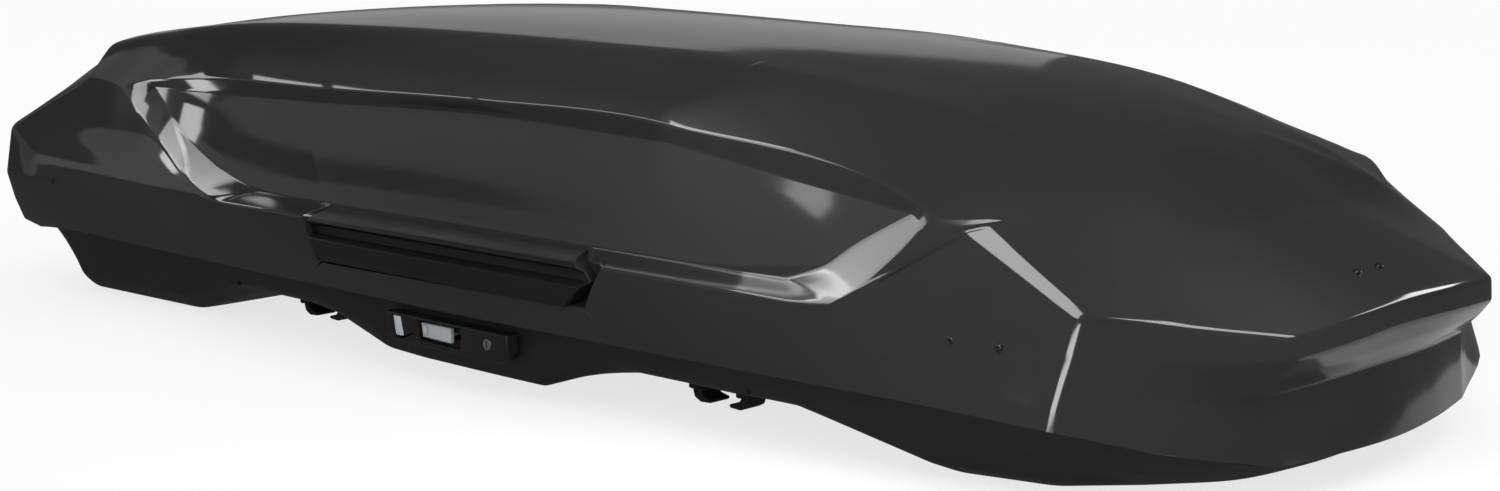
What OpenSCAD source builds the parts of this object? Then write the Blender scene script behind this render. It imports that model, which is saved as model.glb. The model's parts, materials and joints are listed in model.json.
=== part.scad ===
// Roof cargo box that opens from either side.
// +X is the nose, +Y is the left side, +Z is up.
// The origin is under the middle of the box, at the underside of its keels.

/* [Shells] */
// Wall thickness of the lid
lid_wall = 4; // [3:0.5:6]
// Wall thickness of the base
base_wall = 4; // [3:0.5:6]

/* [Hinges and arms] */
// Distance of each pivot line from the middle
pivot_y = 422; // [418:1:424]
// Height of the pivot lines
pivot_z = 104.5; // [103:0.5:106]
// Distance of each cross arm from the middle
arm_x = 230; // [200:5:250]
// Radius of the hinge pins
pin_r = 3; // [2.5:0.5:4]

/* [Locks] */
// Radius of the key cylinder
key_r = 7; // [6:0.5:8]

/* [Clamps] */
// Distance of each clamp from the middle line
clamp_y = 300; // [298:1:302]
// Front clamp position
clamp_front_x = 385; // [383:1:387]
// Rear clamp position
clamp_rear_x = -385; // [-387:1:-383]
// Distance of each claw's pin from the clamp's middle
claw_x = 38; // [37:0.5:39]
// Height of the claws' pins
claw_z = 36; // [35.5:0.5:36.5]
// Radius of the claws' pins
claw_pin_r = 3; // [2.5:0.5:3.5]

/* [Hidden] */
$fn = 48;
// Play between a pin and its hole
gap = 0.06;
// Radius of the post that each clamp's knob turns on
post_r = 6;

// ---------------------------------------------------------------- lid net
// Each row is one line running up the lid, from the rim to the ridge of the roof.
// Points are [x, y, z] on the left half; the right half is its mirror.
ridge_ring = 11;
lid_net = [
  // rear middle
  [[-1005,0,88],[-1045,0,96],[-1066,0,130],[-1080,0,170],[-1080,0,240],[-1074,0,250],[-1035,0,290],
   [-1000,0,322],[-960,0,352],[-925,0,375],[-900,0,390],[-870,0,400]],
  // rear, halfway out
  [[-1003,200,88],[-1043,200,96],[-1064,200,130],[-1080,200,170],[-1080,200,240],[-1074,200,250],
   [-1033,200,288],[-998,198,319],[-957,196,348],[-920,194,371],[-893,190,386],[-866,186,396]],
  // rear, near the corner
  [[-1001,345,89],[-1041,348,97],[-1062,350,130],[-1080,352,170],[-1079,346,240],[-1073,342,248],
   [-1030,338,280],[-990,334,308],[-945,330,334],[-900,326,356],[-876,320,376],[-856,308,388]],
  // rear corner
  [[-998,403,90],[-1040,407,98],[-1061,410,130],[-1079,412,170],[-1077,401,239],[-1071,398,247],
   [-1020,394,268],[-968,390,290],[-915,386,310],[-863,382,331],[-854,368,357],[-846,352,382]],
  // belt corner
  [[-960,409,94],[-975,412,112],[-990,413,135],[-1004,411,168],[-1014,401,192],[-1008,396,203],
   [-975,393,232],[-935,389,265],[-893,385,298],[-852,382,331],[-836,368,360],[-822,352,386]],
  // crease from the shoulder down to the foot of the rear arm
  [[-640,420,97],[-620,426,118],[-600,431,140],[-580,436,168],[-500,443,190],[-486,443,195],
   [-550,428,210],[-632,406,240],[-760,390,296],[-842,382,331],[-815,368,363],[-795,351,391]],
  // rear arm of the side frame, outer edge
  [[-560,424,98],[-550,430,119],[-540,436,142],[-520,441,168],[-462,447,190],[-460,445,195],
   [-530,431,209],[-615,409,238],[-720,393,294],[-774,386,323],[-745,370,361],[-722,349,401]],
  // rear arm of the side frame, inner edge
  [[-430,430,98],[-425,437,120],[-420,442,143],[-415,447,168],[-420,449,190],[-391,413,204],
   [-500,401,227],[-625,386,277],[-690,379,325],[-702,385,335],[-668,369,372],[-640,344,413]],
  // just behind the handle pocket
  [[-243,435,99],[-224,445,122],[-206,450,134],[-224,452,163],[-241,452,192],[-226,413,204],
   [-260,406,228],[-290,395,276],[-320,377,332],[-320,386,350],[-310,345,387.5],[-300,293,426]],
  // rear end of the handle pocket
  [[-234,435,99],[-200,450,134],[-200,430,137],[-217,430,164],[-233,430,191],[-217,413,204],
   [-250,406,228],[-280,395,276],[-310,377,332],[-310,386,350],[-300,345,387.5],[-290,291,426]],
  // middle of the handle
  [[50,440,99],[50,452,137],[50,430,140],[50,430,166],[50,430,191],[50,413,204],[50,407,230],
   [50,396,281],[50,376,340],[50,387,357],[50,335,388],[50,254,422]],
  // front end of the handle pocket
  [[318,434,99],[296,451,141],[296,430,144],[309,430,167],[326,430,191],[272,413,204],[310,407,228],
   [340,396,275],[360,379,332],[360,387,353],[360,328,381],[360,240,412]],
  // just ahead of the handle pocket
  [[328,434,99],[312,446,128],[299,450.5,142],[312,452,166],[329,452,192],[276,413,204],[320,407,228],
   [350,396,275],[370,379,331],[370,387,352],[370,328,380],[370,240,411]],
  // front arm of the side frame, inner edge
  [[600,426,99],[600,433,120],[600,440,143],[600,446,168],[612,451,190],[575,413,204],
   [618,405,220],[665,393,252],[722,380,286],[730,386,299],[706,325,335],[690,226,369]],
  // front arm of the side frame, outer edge
  [[690,422,99],[690,427,120],[690,433,143],[685,440,168],[668,448,193],[672,446,198],
   [692,433,213],[715,416,238],[742,394,272],[759,386,286],[753,325,320],[750,221,352]],
  // shoulder corner
  [[790,417,98],[790,418,120],[790,416,145],[790,409,195],[793,392,279],[813,380,285],
   [820,375,286],[826,370,287],[832,364,288],[840,356,289],[845,310,299],[836,219,322]],
  // front side corner
  [[915,413,96],[918,408,116],[921,401,138],[925,391,168],[930,381,202],[940,373,206],
   [934,349,220],[928,325,235],[922,301,249],[916,280,262],[911,263,272],[907,248,281]],
  // middle of the nose chamfer
  [[1003,345,76],[997,325,122],[1000,318,141],[1004,315,160],[1001,303,194],[999,300,197],
   [983,276,211.5],[967,252,226],[951,228,240],[938,209,251.5],[928,194,260.5],[919,180,268]],
  // nose corner
  [[1052,205,44],[1042,214,119],[1060,218,138],[1074,221,157],[1073,220,182],[1070,217,185.5],
   [1042,197,202],[1013,176,218.5],[985,155,234.5],[962,138.5,247.5],[944,125.5,257.5],[928,114,266]],
  // nose, halfway in
  [[1069,105,43],[1056,110,121],[1070,112,141],[1080,114,160],[1079,114,187],[1075.5,112,190.5],
   [1047,101,206.5],[1018,90,222],[989,79,237.5],[966,70,249.5],[948,63,259],[932,57,267]],
  // nose middle
  [[1076,0,42],[1062,0,123],[1073,0,143],[1080,0,162],[1080,0,190],[1077,0,193],[1049,0,208.5],
   [1020,0,224],[992,0,239],[969,0,251],[951,0,260.5],[935,0,268]]];

// Where each of those lines ends on the middle line of the roof
roof_x = [-700,-694,-685,-672,-660,-640,-600,-540,-310,-300,50,350,360,610,660,712,742,757,768,776,782];
// Height of the roof along its middle, and the height and half width of its ridge
crown = [[-870,400],[-620,427],[-361,437],[-146,438],[42,435],[212,430],[388,423],[558,407],
  [684,385],[811,347],[880,313],[935,268]];
ridge_z = [[-846,382],[-620,416],[-361,425],[-146,425],[42,422],[212,418],[388,410],[558,393],
  [684,370],[811,333],[868,303],[907,281]];
ridge_y = [[-846,352],[-620,342],[-361,302],[-146,277],[42,255],[212,243],[388,239],[558,236],
  [684,226],[811,218],[868,228],[907,248]];

function roof_z(x, y) = let(c = lookup(x, crown), r = lookup(x, ridge_z), w = lookup(x, ridge_y))
  c - (c - r) * pow(min(1.3, abs(y) / w), 2);

// One full line: the net line, then the roof's quarter point and its middle
function lid_line(i) = let(p = lid_net[i][ridge_ring], mx = (p[0] + roof_x[i]) / 2, my = p[1] / 2)
  concat(lid_net[i], [[mx, my, roof_z(mx, my)], [roof_x[i], 0, lookup(roof_x[i], crown)]]);

// Lines that keep a corner in their rings; every other line is rounded through
function lid_corner(i, j) = j < 4 ? (i == 3 || i == 8 || i == 9 || i == 11 || i == 12 || i == 16 || i == 18)
  : j > 9 ? (i == 3 || i == 16) : j > 8 ? (i == 3 || i == 6 || i == 14 || i == 16)
  : (i >= 3 && i <= 9) || (i >= 11 && i <= 16) || i == 18;
// Steps from each line to the next
lid_steps = [1, 1, 1, 1, 2, 1, 1, 3, 1, 4, 4, 1, 3, 1, 2, 2, 2, 2, 2, 2];

// ---------------------------------------------------------------- base net
// From the upper edge down the wall, under the bottom and to the middle line
base_net = [
  [[-990,0,86],[-984,0,72],[-970,0,45],[-955,0,16],[-940,0,0],[-900,0,0],[-880,0,0],[-850,0,0],[-800,0,0]],
  [[-989,215,86],[-983,213,72],[-969,208,45],[-954,200,16],[-939,195,0],[-899,170,0],[-879,150,0],
   [-849,110,0],[-780,0,0]],
  [[-985,380,87],[-979,372,72],[-965,362,45],[-950,350,16],[-930,338,0],[-895,300,0],[-875,272,0],
   [-840,170,0],[-760,0,0]],
  [[-940,396,92],[-935,392,78],[-925,386,50],[-915,380,21],[-905,362,0],[-880,315,0],[-860,285,0],
   [-820,180,0],[-740,0,0]],
  [[-640,408,95],[-640,404,80],[-640,398,55],[-640,388,27],[-640,352,0],[-640,315,0],[-640,285,0],
   [-640,180,0],[-640,0,0]],
  [[-480,415,97],[-480,410,84],[-475,404,70],[-470,394,62],[-462,360,50],[-462,315,50],[-462,285,50],
   [-462,180,50],[-462,0,50]],
  [[-448,416,97],[-448,411,84],[-448,404,70],[-448,394,62],[-448,360,50],[-448,315,50],[-448,285,50],
   [-448,180,50],[-448,0,50]],
  [[-303,421,97],[-303,416,86],[-303,409,72],[-303,398,62],[-303,360,50],[-303,315,50],[-303,285,50],
   [-303,180,50],[-303,0,50]],
  [[-250,422,97],[-250,420,88],[-240,415,68],[-230,402,55],[-225,372,48],[-250,315,50],[-250,285,50],
   [-250,180,50],[-250,0,50]],
  [[-130,424,97],[-130,424,84],[-130,424,52],[-120,405,24],[-110,385,28],[-130,315,50],[-130,285,50],
   [-130,180,50],[-130,0,50]],
  [[-48,424,97],[-48,424,84],[-48,424,53],[-48,405,21],[-48,385,25],[-48,315,50],[-48,285,50],
   [-48,180,50],[-48,0,50]],
  [[96,424,97],[96,424,84],[96,424,53],[96,405,20],[96,385,24],[96,315,50],[96,285,50],[96,180,50],
   [96,0,50]],
  [[170,424,97],[170,423,84],[170,421,50],[175,405,20],[175,385,24],[170,315,50],[170,285,50],
   [170,180,50],[170,0,50]],
  [[240,422,97],[240,419,86],[240,412,62],[235,398,40],[230,372,42],[240,315,50],[240,285,50],
   [240,180,50],[240,0,50]],
  [[303,421,97],[303,416,86],[303,409,72],[303,398,62],[303,360,50],[303,315,50],[303,285,50],
   [303,180,50],[303,0,50]],
  [[467,417,97],[467,412,86],[467,405,72],[467,394,62],[467,360,50],[467,315,50],[467,285,50],
   [467,180,50],[467,0,50]],
  [[570,414,97],[570,409,85],[570,402,70],[570,390,61],[570,350,50],[570,315,50],[570,285,50],
   [570,180,50],[570,0,50]],
  [[735,406,97],[735,400,80],[735,388,52],[735,360,20],[735,310,0],[735,280,0],[735,250,0],[735,160,0],
   [735,0,0]],
  [[905,396,94],[892,382,72],[875,355,45],[858,320,16],[842,285,0],[830,255,0],[820,225,0],[805,150,0],
   [780,0,0]],
  [[990,333,76],[975,318,56],[950,290,34],[925,245,12],[908,215,0],[885,190,0],[870,165,0],[845,110,0],
   [800,0,0]],
  [[1036,200,42],[1020,190,32],[1000,175,20],[980,155,8],[960,140,0],[930,120,0],[905,100,0],[870,70,0],
   [820,0,0]],
  [[1053,103,41],[1037,98,31],[1015,90,18],[995,82,7],[976,75,0],[945,62,0],[915,52,0],[880,36,0],
   [835,0,0]],
  [[1060,0,40],[1044,0,30],[1022,0,17],[1001,0,6],[982,0,0],[950,0,0],[920,0,0],[885,0,0],[850,0,0]]];
function base_corner(i, j) = !(i <= 2 || i >= 20);
base_steps = [1,1,1,1,1,1,1,1,1,1,1,1,1,1,1,1,1,2,2,2,1,1];
// Openings in the base: the clamp slots, and one behind each lock
function base_gap(i, j) = (j == 5 && (i == 6 || i == 14)) || (j == 1 && i == 10);

// ---------------------------------------------------------------- shell maker
function unit(v) = let(n = norm(v)) n < 1e-9 ? [0, 0, 0] : v / n;
function span_dir(a, b, c) = let(d0 = norm(b - a), d1 = norm(c - b))
  ((b - a) / max(d0, 1e-6) * d1 + (c - b) / max(d1, 1e-6) * d0) / max(d0 + d1, 1e-6);

// A point part way from line i to line i + 1, on ring j, rounded through the lines that aren't corners
function net_point(L, C, i, j, t) = let(n = len(L), a = L[i][j], b = L[i + 1][j], d = norm(b - a),
    before = i > 0 ? L[i - 1][j] : [a[0], -L[1][j][1], a[2]],
    after = i < n - 2 ? L[i + 2][j] : [b[0], -L[n - 2][j][1], b[2]],
    ta = C[i][j] ? (b - a) : i == 0 ? [0, b[1] - a[1], 0] : span_dir(before, a, b) * d,
    tb = C[i + 1][j] ? (b - a) : i == n - 2 ? [0, b[1] - a[1], 0] : span_dir(a, b, after) * d)
  t == 0 ? a : a * (2*t*t*t - 3*t*t + 1) + ta * (t*t*t - 2*t*t + t)
    + b * (3*t*t - 2*t*t*t) + tb * (t*t*t - t*t);

function fine_lines(L, C, S) = concat(
  [for (i = [0 : len(L) - 2], k = [0 : S[i] - 1])
    [for (j = [0 : len(L[0]) - 1]) net_point(L, C, i, j, k / S[i])]],
  [L[len(L) - 1]]);
function span_of(S) = [for (i = [0 : len(S) - 1], k = [0 : S[i] - 1]) i];

// Sum of the directions of the faces round a point, on a grid that carries on mirrored past its edges
function grid_at(G, i, j) = let(n = len(G), m = len(G[0]))
  i < 0 ? [G[1][j][0], -G[1][j][1], G[1][j][2]]
  : i >= n ? [G[n - 2][j][0], -G[n - 2][j][1], G[n - 2][j][2]]
  : j >= m ? [G[i][m - 2][0], -G[i][m - 2][1], G[i][m - 2][2]] : G[i][max(0, j)];
function corner_dir(p, a, b) = unit(cross(a - p, b - p));
function grid_dir(G, i, j) = let(p = grid_at(G, i, j), e = grid_at(G, i + 1, j), n = grid_at(G, i, j + 1),
    w = grid_at(G, i - 1, j), s = grid_at(G, i, j - 1))
  corner_dir(p, e, n) + corner_dir(p, n, w) + (j > 0 ? corner_dir(p, w, s) + corner_dir(p, s, e) : [0, 0, 0]);
function flat_y(v, on) = on ? [v[0], 0, v[2]] : v;

// A wall of even thickness behind a net, on both halves; side = 1 puts the wall below, -1 above
module net_shell(G, wall, gaps, side) {
  n = len(G); m = len(G[0]); half = n * m;
  dirs = [for (i = [0 : n - 1], j = [0 : m - 1])
    unit(flat_y(grid_dir(G, i, j), i == 0 || i == n - 1 || j == m - 1))];
  outer = [for (i = [0 : n - 1], j = [0 : m - 1]) G[i][j]];
  inner = [for (k = [0 : half - 1]) outer[k] + dirs[k] * wall * side];
  flip = function(q) [q[0], -q[1], q[2]];
  pts = concat(outer, inner, [for (p = outer) flip(p)], [for (p = inner) flip(p)]);
  // index of a point: h is 0 for the left half and 1 for the right, s is 0 outside and 1 inside
  id = function(h, s, i, j) (i == 0 || i == n - 1 || j == m - 1 ? 0 : h) * 2 * half + s * half + i * m + j;
  quad = function(a, b, c, d, turn, other) let(t = other ? [[a, b, c], [a, c, d]] : [[a, b, d], [b, c, d]])
    turn ? [for (f = t) [f[2], f[1], f[0]]] : t;
  kept = function(i, j) i >= 0 && j >= 0 && i < n - 1 && j < m - 1 && gaps[i][j] == 0;
  faces = [for (h = [0, 1], i = [0 : n - 2], j = [0 : m - 2]) if (gaps[i][j] == 0)
    let(turn = (h == 1) != (side == -1), other = i >= n / 2,
      a = id(h, 0, i, j), b = id(h, 0, i + 1, j), c = id(h, 0, i + 1, j + 1), d = id(h, 0, i, j + 1),
      A = id(h, 1, i, j), B = id(h, 1, i + 1, j), C = id(h, 1, i + 1, j + 1), D = id(h, 1, i, j + 1))
    each concat(quad(a, b, c, d, turn, other), quad(A, B, C, D, !turn, other),
      kept(i, j - 1) ? [] : quad(a, A, B, b, turn, false),
      (kept(i, j + 1) || j == m - 2) ? [] : quad(d, c, C, D, turn, false),
      (kept(i - 1, j) || i == 0) ? [] : quad(a, d, D, A, turn, false),
      (kept(i + 1, j) || i == n - 2) ? [] : quad(b, B, C, c, turn, false))];
  polyhedron(points = pts, faces = faces, convexity = 8);
}

lid_lines = [for (i = [0 : len(lid_net) - 1]) lid_line(i)];
lid_corners = [for (i = [0 : len(lid_net) - 1]) [for (j = [0 : 13]) lid_corner(i, j)]];
base_corners = [for (i = [0 : len(base_net) - 1]) [for (j = [0 : 8]) base_corner(i, j)]];

module lid_shell() {
  G = fine_lines(lid_lines, lid_corners, lid_steps);
  gaps = [for (i = [0 : len(G) - 2]) [for (j = [0 : len(G[0]) - 2]) 0]];
  color([0.06, 0.06, 0.065]) net_shell(G, lid_wall, gaps, 1);
}

module base_shell() {
  G = fine_lines(base_net, base_corners, base_steps);
  S = span_of(base_steps);
  gaps = [for (i = [0 : len(G) - 2]) [for (j = [0 : len(G[0]) - 2]) base_gap(S[i], j) ? 1 : 0]];
  color([0.12, 0.12, 0.12]) net_shell(G, base_wall, gaps, -1);
}

// ---------------------------------------------------------------- helpers
// Everything below is drawn on the left and mirrored for the right
module on_side(s) {
  if (s > 0) children();
  else mirror([0, 1, 0]) children();
}
// A block from its low corner to its high corner
module block(a, b) { translate(a) cube(b - a); }
// A round bar along X
module bar_x(r, x0, x1, y, z) { translate([x0, y, z]) rotate([0, 90, 0]) cylinder(r = r, h = x1 - x0); }
// A round bar along Y
module bar_y(r, x, y0, y1, z) { translate([x, y1, z]) rotate([90, 0, 0]) cylinder(r = r, h = y1 - y0); }
// An outline in X and Z, given thickness along Y
module plate_y(pts, y0, y1) { translate([0, y1, 0]) rotate([90, 0, 0]) linear_extrude(y1 - y0) polygon(pts); }
// An outline in Y and Z, given length along X
module plate_x(pts, x0, x1) {
  translate([x0, 0, 0]) rotate([90, 0, 90]) linear_extrude(x1 - x0) polygon(pts);
}

// ---------------------------------------------------------------- lid fittings
// Long grip along the lid's side: a stepped bar with slanted ends, sitting in the lid's pocket
module side_handle(s) {
  color([0.09, 0.09, 0.09]) on_side(s) intersection() {
    plate_x([[430.1, 138], [430.1, 196], [418, 202.5], [441, 196.5], [449, 191], [452, 186], [443, 181],
      [443, 171], [456, 165], [457.5, 146], [455, 138]], -240, 340);
    plate_y([[-195, 139], [-226, 190], [-207, 210], [264, 210], [322, 190], [292, 146.5]], 400, 460);
  }
}

rivet_spots = [[795, 410, 168], [850, 404, 168], [-865, 411.5, 168], [-935, 411.5, 168]];
rivet_outline = [[0, -5], [2, -5], [2, 0], [4.5, 0], [4.2, 1.2], [2.6, 2.2], [0, 2.6]];
module rivet() { rotate_extrude($fn = 24) polygon(rivet_outline); }
module lid_rivets() {
  color([0.05, 0.05, 0.05]) {
    for (s = [1, -1], p = rivet_spots) on_side(s) translate(p) rotate([-90, 0, 0]) rivet();
    for (y = [-24, 24]) translate([1034, y, 217.2]) rotate([0, 28, 0]) rivet();
  }
}

// Places of the three latch points along each side, and where each bracket ends in the lid's wall
latch_x = [-560, 0, 560];
bracket_end = [423.5, 439.5, 427.5];
// Middle line and height of the sliding rod
rod_y = 390;
rod_z = 73;
// Radius of the sliding rod
rod_r = 4;
// Brackets inside the lid's edge, each with a cross pin for a latch hook
module lid_strikers() {
  color([0.55, 0.55, 0.57]) for (s = [1, -1], n = [0 : 2]) on_side(s) union() {
    block([latch_x[n] - 9, 402, 104], [latch_x[n] + 9, bracket_end[n], 124]);
    bar_y(2.5, latch_x[n], 387, 404, 109);
  }
}

// ---------------------------------------------------------------- hinges and cross arms
module base_hinge_brackets() {
  color([0.5, 0.5, 0.52]) for (x = [-arm_x, arm_x]) translate([x, 0, 0]) difference() {
    for (k = [-15, 10]) union() {
      block([k, 400, 70], [k + 5, 417.2, 96]);
      block([k, 400, 97.6], [k + 5, 422, 104.5]);
      block([k, 400, 90], [k + 5, 409, 104.5]);
      bar_x(5.5, k, k + 5, pivot_y, pivot_z);
    }
    bar_x(pin_r, -20, 20, pivot_y, pivot_z);
  }
}
module base_hinge_pins() {
  color([0.7, 0.7, 0.72]) for (x = [-arm_x, arm_x]) bar_x(pin_r, x - 17, x + 17, pivot_y, pivot_z);
}
module lid_hinge_brackets() {
  color([0.5, 0.5, 0.52]) for (x = [-arm_x, arm_x]) translate([x, 0, 0]) difference() {
    for (k = [-15, 10]) union() {
      block([k, -437, 108], [k + 5, -416.5, 124]);
      bar_x(5.5, k, k + 5, -pivot_y, pivot_z);
    }
    bar_x(pin_r, -20, 20, -pivot_y, pivot_z);
  }
}
module lid_hinge_pins() {
  color([0.7, 0.7, 0.72]) for (x = [-arm_x, arm_x]) bar_x(pin_r, x - 17, x + 17, -pivot_y, pivot_z);
}
module arm_rests() {
  color([0.1, 0.1, 0.1]) for (x = [-arm_x, arm_x]) union() {
    block([x - 8, -417.5, 80], [x + 8, -400, 96]);
    block([x - 8, -412, 95], [x + 8, -400, 100.5]);
  }
}
module cross_arm(x) {
  color([0.6, 0.6, 0.62]) translate([x, 0, 0]) difference() {
    union() {
      block([-9, -pivot_y, 101], [9, pivot_y, 108.5]);
      for (s = [1, -1]) bar_x(5.5, -9, 9, s * pivot_y, pivot_z);
    }
    for (s = [1, -1]) bar_x(pin_r + gap, -10, 10, s * pivot_y, pivot_z);
  }
}

// ---------------------------------------------------------------- locks
module lock_housing(s) {
  color([0.13, 0.13, 0.13]) on_side(s) difference() {
    plate_y([[-80, 87], [-72, 57], [-62, 51], [140, 50], [150, 54], [156, 66], [154, 87]], 424.5, 444);
    plate_y([[-16, 83.5], [-12, 60], [-8, 57], [66, 56], [70, 60], [70, 83.5]], 432, 446);
    block([-14, 420, 65], [60, 436, 74]);
    plate_y([[-63, 84], [-58, 58], [-40, 57], [-47, 84]], 440, 446);
    bar_y(key_r + gap, 119, 427, 446, 71);
  }
}
module lock_slide(s) {
  color([0.42, 0.43, 0.45]) on_side(s) union() {
    plate_y([[-11, 80], [-8, 62], [46, 61], [46, 80]], 434, 440);
    plate_y([[-6, 78], [-4, 70], [2, 70], [0, 78]], 439, 443);
    block([-8, 409, 67], [36, 435, 72]);
    block([10, 391, 67], [22, 410, 72]);
  }
}
module status_window(s) {
  color([0.45, 0.47, 0.5]) on_side(s)
    plate_y([[-62, 83], [-57.5, 59], [-41.5, 58], [-48, 83]], 440.5, 443.5);
}
module key_cylinder(s) {
  color([0.75, 0.75, 0.77]) on_side(s) difference() {
    bar_y(key_r, 119, 427.5, 445, 71);
    block([117.9, 441, 66.5], [120.1, 446, 75.5]);
  }
}
// Sliding rod inside the base with a hook for each striker
module latch_rod(s) {
  color([0.6, 0.6, 0.62]) on_side(s) {
    union() {
      bar_x(rod_r, -600, 580, rod_y, rod_z);
      for (x = latch_x) plate_y([[x - 40, 72], [x - 26, 72], [x - 26, 112.5], [x - 9, 112.5],
        [x - 9, 115], [x - 14, 120], [x - 40, 120]], rod_y, rod_y + 4);
    }
  }
}
module latch_guides(s) {
  color([0.12, 0.12, 0.12]) on_side(s) for (x = [-470, -180, 180, 500]) difference() {
    block([x - 10, 381, 65.5], [x + 10, abs(x) > 400 ? 404.5 : 420, 80.5]);
    bar_x(rod_r + gap, x - 11, x + 11, rod_y, rod_z);
  }
}

// ---------------------------------------------------------------- clamps
module clamp_body(x, s) {
  color([0.14, 0.14, 0.15]) translate([x, s * clamp_y, 0]) union() {
    block([-45, -26, 54.4], [45, 26, 72]);
    block([-34, -22, 71], [34, 22, 84]);
    block([-20, -14.5, 48], [20, 14.5, 55]);
    // the foot under the base, hollowed above each claw's knuckle
    difference() {
      block([-44, -24, 40], [44, 24, 49.4]);
      for (k = [-1, 1]) bar_y(7.5, k * claw_x, -17.2, 17.2, claw_z);
    }
    for (k = [-1, 1], e = [-24, 17]) block([k * claw_x - 6, e, 33], [k * claw_x + 6, e + 7, 41]);
    for (k = [-1, 1]) bar_y(claw_pin_r, k * claw_x, -24, 24, claw_z);
    translate([0, 0, 83]) cylinder(r = post_r, h = 5);
  }
}
module bar_pad(x, s) {
  color([0.05, 0.05, 0.05]) translate([x, s * clamp_y, 0]) block([-30, -22, 37], [30, 22, 40]);
}
module clamp_knob(x, s) {
  color([0.16, 0.16, 0.17]) translate([x, s * clamp_y, 0]) difference() {
    union() {
      translate([0, 0, 84.5]) cylinder(r = 17, h = 10);
      block([-15, -5, 94], [15, 5, 108]);
      for (k = [-15, 15]) translate([k, 0, 94]) cylinder(r = 5, h = 14);
    }
    translate([0, 0, 84]) cylinder(r = post_r + gap, h = 6);
  }
}
// One jaw: k = 1 is the fore jaw, k = -1 the aft jaw
module claw(x, s, k) {
  color([0.08, 0.08, 0.08]) translate([x, s * clamp_y, 0]) difference() {
    union() {
      plate_y([[k * 32, 36], [k * 33, 30], [k * 28, 24], [k * 14, 21], [k * 15, 17], [k * 32, 16],
        [k * 42, 21], [k * 45, 30], [k * 44, 36]], -16.5, 16.5);
      bar_y(6, k * claw_x, -16.5, 16.5, claw_z);
    }
    bar_y(claw_pin_r + gap, k * claw_x, -17, 17, claw_z);
  }
}

// Thin anti-slip mat on the floor between the clamps
module base_mat() {
  color([0.2, 0.2, 0.2]) block([-440, -255, 54.05], [540, 255, 57]);
}

lid_shell();
base_shell();
base_mat();
lid_rivets();
lid_strikers();
base_hinge_brackets();
base_hinge_pins();
lid_hinge_brackets();
lid_hinge_pins();
arm_rests();
cross_arm(arm_x);  // cross_arm_front
cross_arm(-arm_x);  // cross_arm_rear
side_handle(-1);  // side_handle_right
side_handle(1);  // side_handle_left
lock_housing(-1);  // lock_housing_right
lock_housing(1);  // lock_housing_left
lock_slide(-1);  // lock_slide_right
lock_slide(1);  // lock_slide_left
key_cylinder(-1);  // key_cylinder_right
key_cylinder(1);  // key_cylinder_left
status_window(-1);  // status_window_right
status_window(1);  // status_window_left
latch_rod(-1);  // latch_rod_right
latch_rod(1);  // latch_rod_left
latch_guides(-1);  // latch_guides_right
latch_guides(1);  // latch_guides_left
clamp_body(clamp_front_x, -1);  // clamp_body_front_right
clamp_knob(clamp_front_x, -1);  // clamp_knob_front_right
claw(clamp_front_x, -1, 1);  // claw_fore_front_right
claw(clamp_front_x, -1, -1);  // claw_aft_front_right
bar_pad(clamp_front_x, -1);  // bar_pad_front_right
clamp_body(clamp_front_x, 1);  // clamp_body_front_left
clamp_knob(clamp_front_x, 1);  // clamp_knob_front_left
claw(clamp_front_x, 1, 1);  // claw_fore_front_left
claw(clamp_front_x, 1, -1);  // claw_aft_front_left
bar_pad(clamp_front_x, 1);  // bar_pad_front_left
clamp_body(clamp_rear_x, -1);  // clamp_body_rear_right
clamp_knob(clamp_rear_x, -1);  // clamp_knob_rear_right
claw(clamp_rear_x, -1, 1);  // claw_fore_rear_right
claw(clamp_rear_x, -1, -1);  // claw_aft_rear_right
bar_pad(clamp_rear_x, -1);  // bar_pad_rear_right
clamp_body(clamp_rear_x, 1);  // clamp_body_rear_left
clamp_knob(clamp_rear_x, 1);  // clamp_knob_rear_left
claw(clamp_rear_x, 1, 1);  // claw_fore_rear_left
claw(clamp_rear_x, 1, -1);  // claw_aft_rear_left
bar_pad(clamp_rear_x, 1);  // bar_pad_rear_left
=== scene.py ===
"""Looks of a roof cargo box: a faceted gloss lid on a matt base, with grips, locks, arms and clamps.

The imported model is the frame. Shells are rebuilt here with rounded creases over the same nets that
the CAD uses, and the smaller fittings are modelled again over their CAD nodes.
"""
import json
import logging
import math
from dataclasses import dataclass, field
from enum import Enum
from typing import Callable, Optional, Sequence

import bmesh
import bpy
from mathutils import Matrix, Vector


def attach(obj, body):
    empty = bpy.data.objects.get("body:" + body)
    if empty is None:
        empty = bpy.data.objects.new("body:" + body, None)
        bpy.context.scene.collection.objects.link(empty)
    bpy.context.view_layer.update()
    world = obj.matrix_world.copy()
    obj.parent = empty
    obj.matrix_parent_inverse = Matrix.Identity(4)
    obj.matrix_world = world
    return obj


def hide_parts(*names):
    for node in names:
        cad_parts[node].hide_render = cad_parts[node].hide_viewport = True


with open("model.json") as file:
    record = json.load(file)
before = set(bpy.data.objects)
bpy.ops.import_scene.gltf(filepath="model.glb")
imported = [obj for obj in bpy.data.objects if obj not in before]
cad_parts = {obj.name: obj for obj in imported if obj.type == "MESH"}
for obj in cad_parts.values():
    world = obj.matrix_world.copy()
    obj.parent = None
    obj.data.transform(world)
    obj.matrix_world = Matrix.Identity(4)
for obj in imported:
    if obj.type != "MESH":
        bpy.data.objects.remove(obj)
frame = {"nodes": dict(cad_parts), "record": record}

logging.basicConfig(level=logging.INFO, format="%(levelname)s %(message)s")
log = logging.getLogger("cargo_box")

MM = 0.001
# Bands in one unit of the wave texture
WAVE_BANDS = 20
# Edges sharper than this stay crisp after the rounding
CRISP = math.radians(38)
Point = tuple[float, float, float]
Flat = tuple[float, float]


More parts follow.
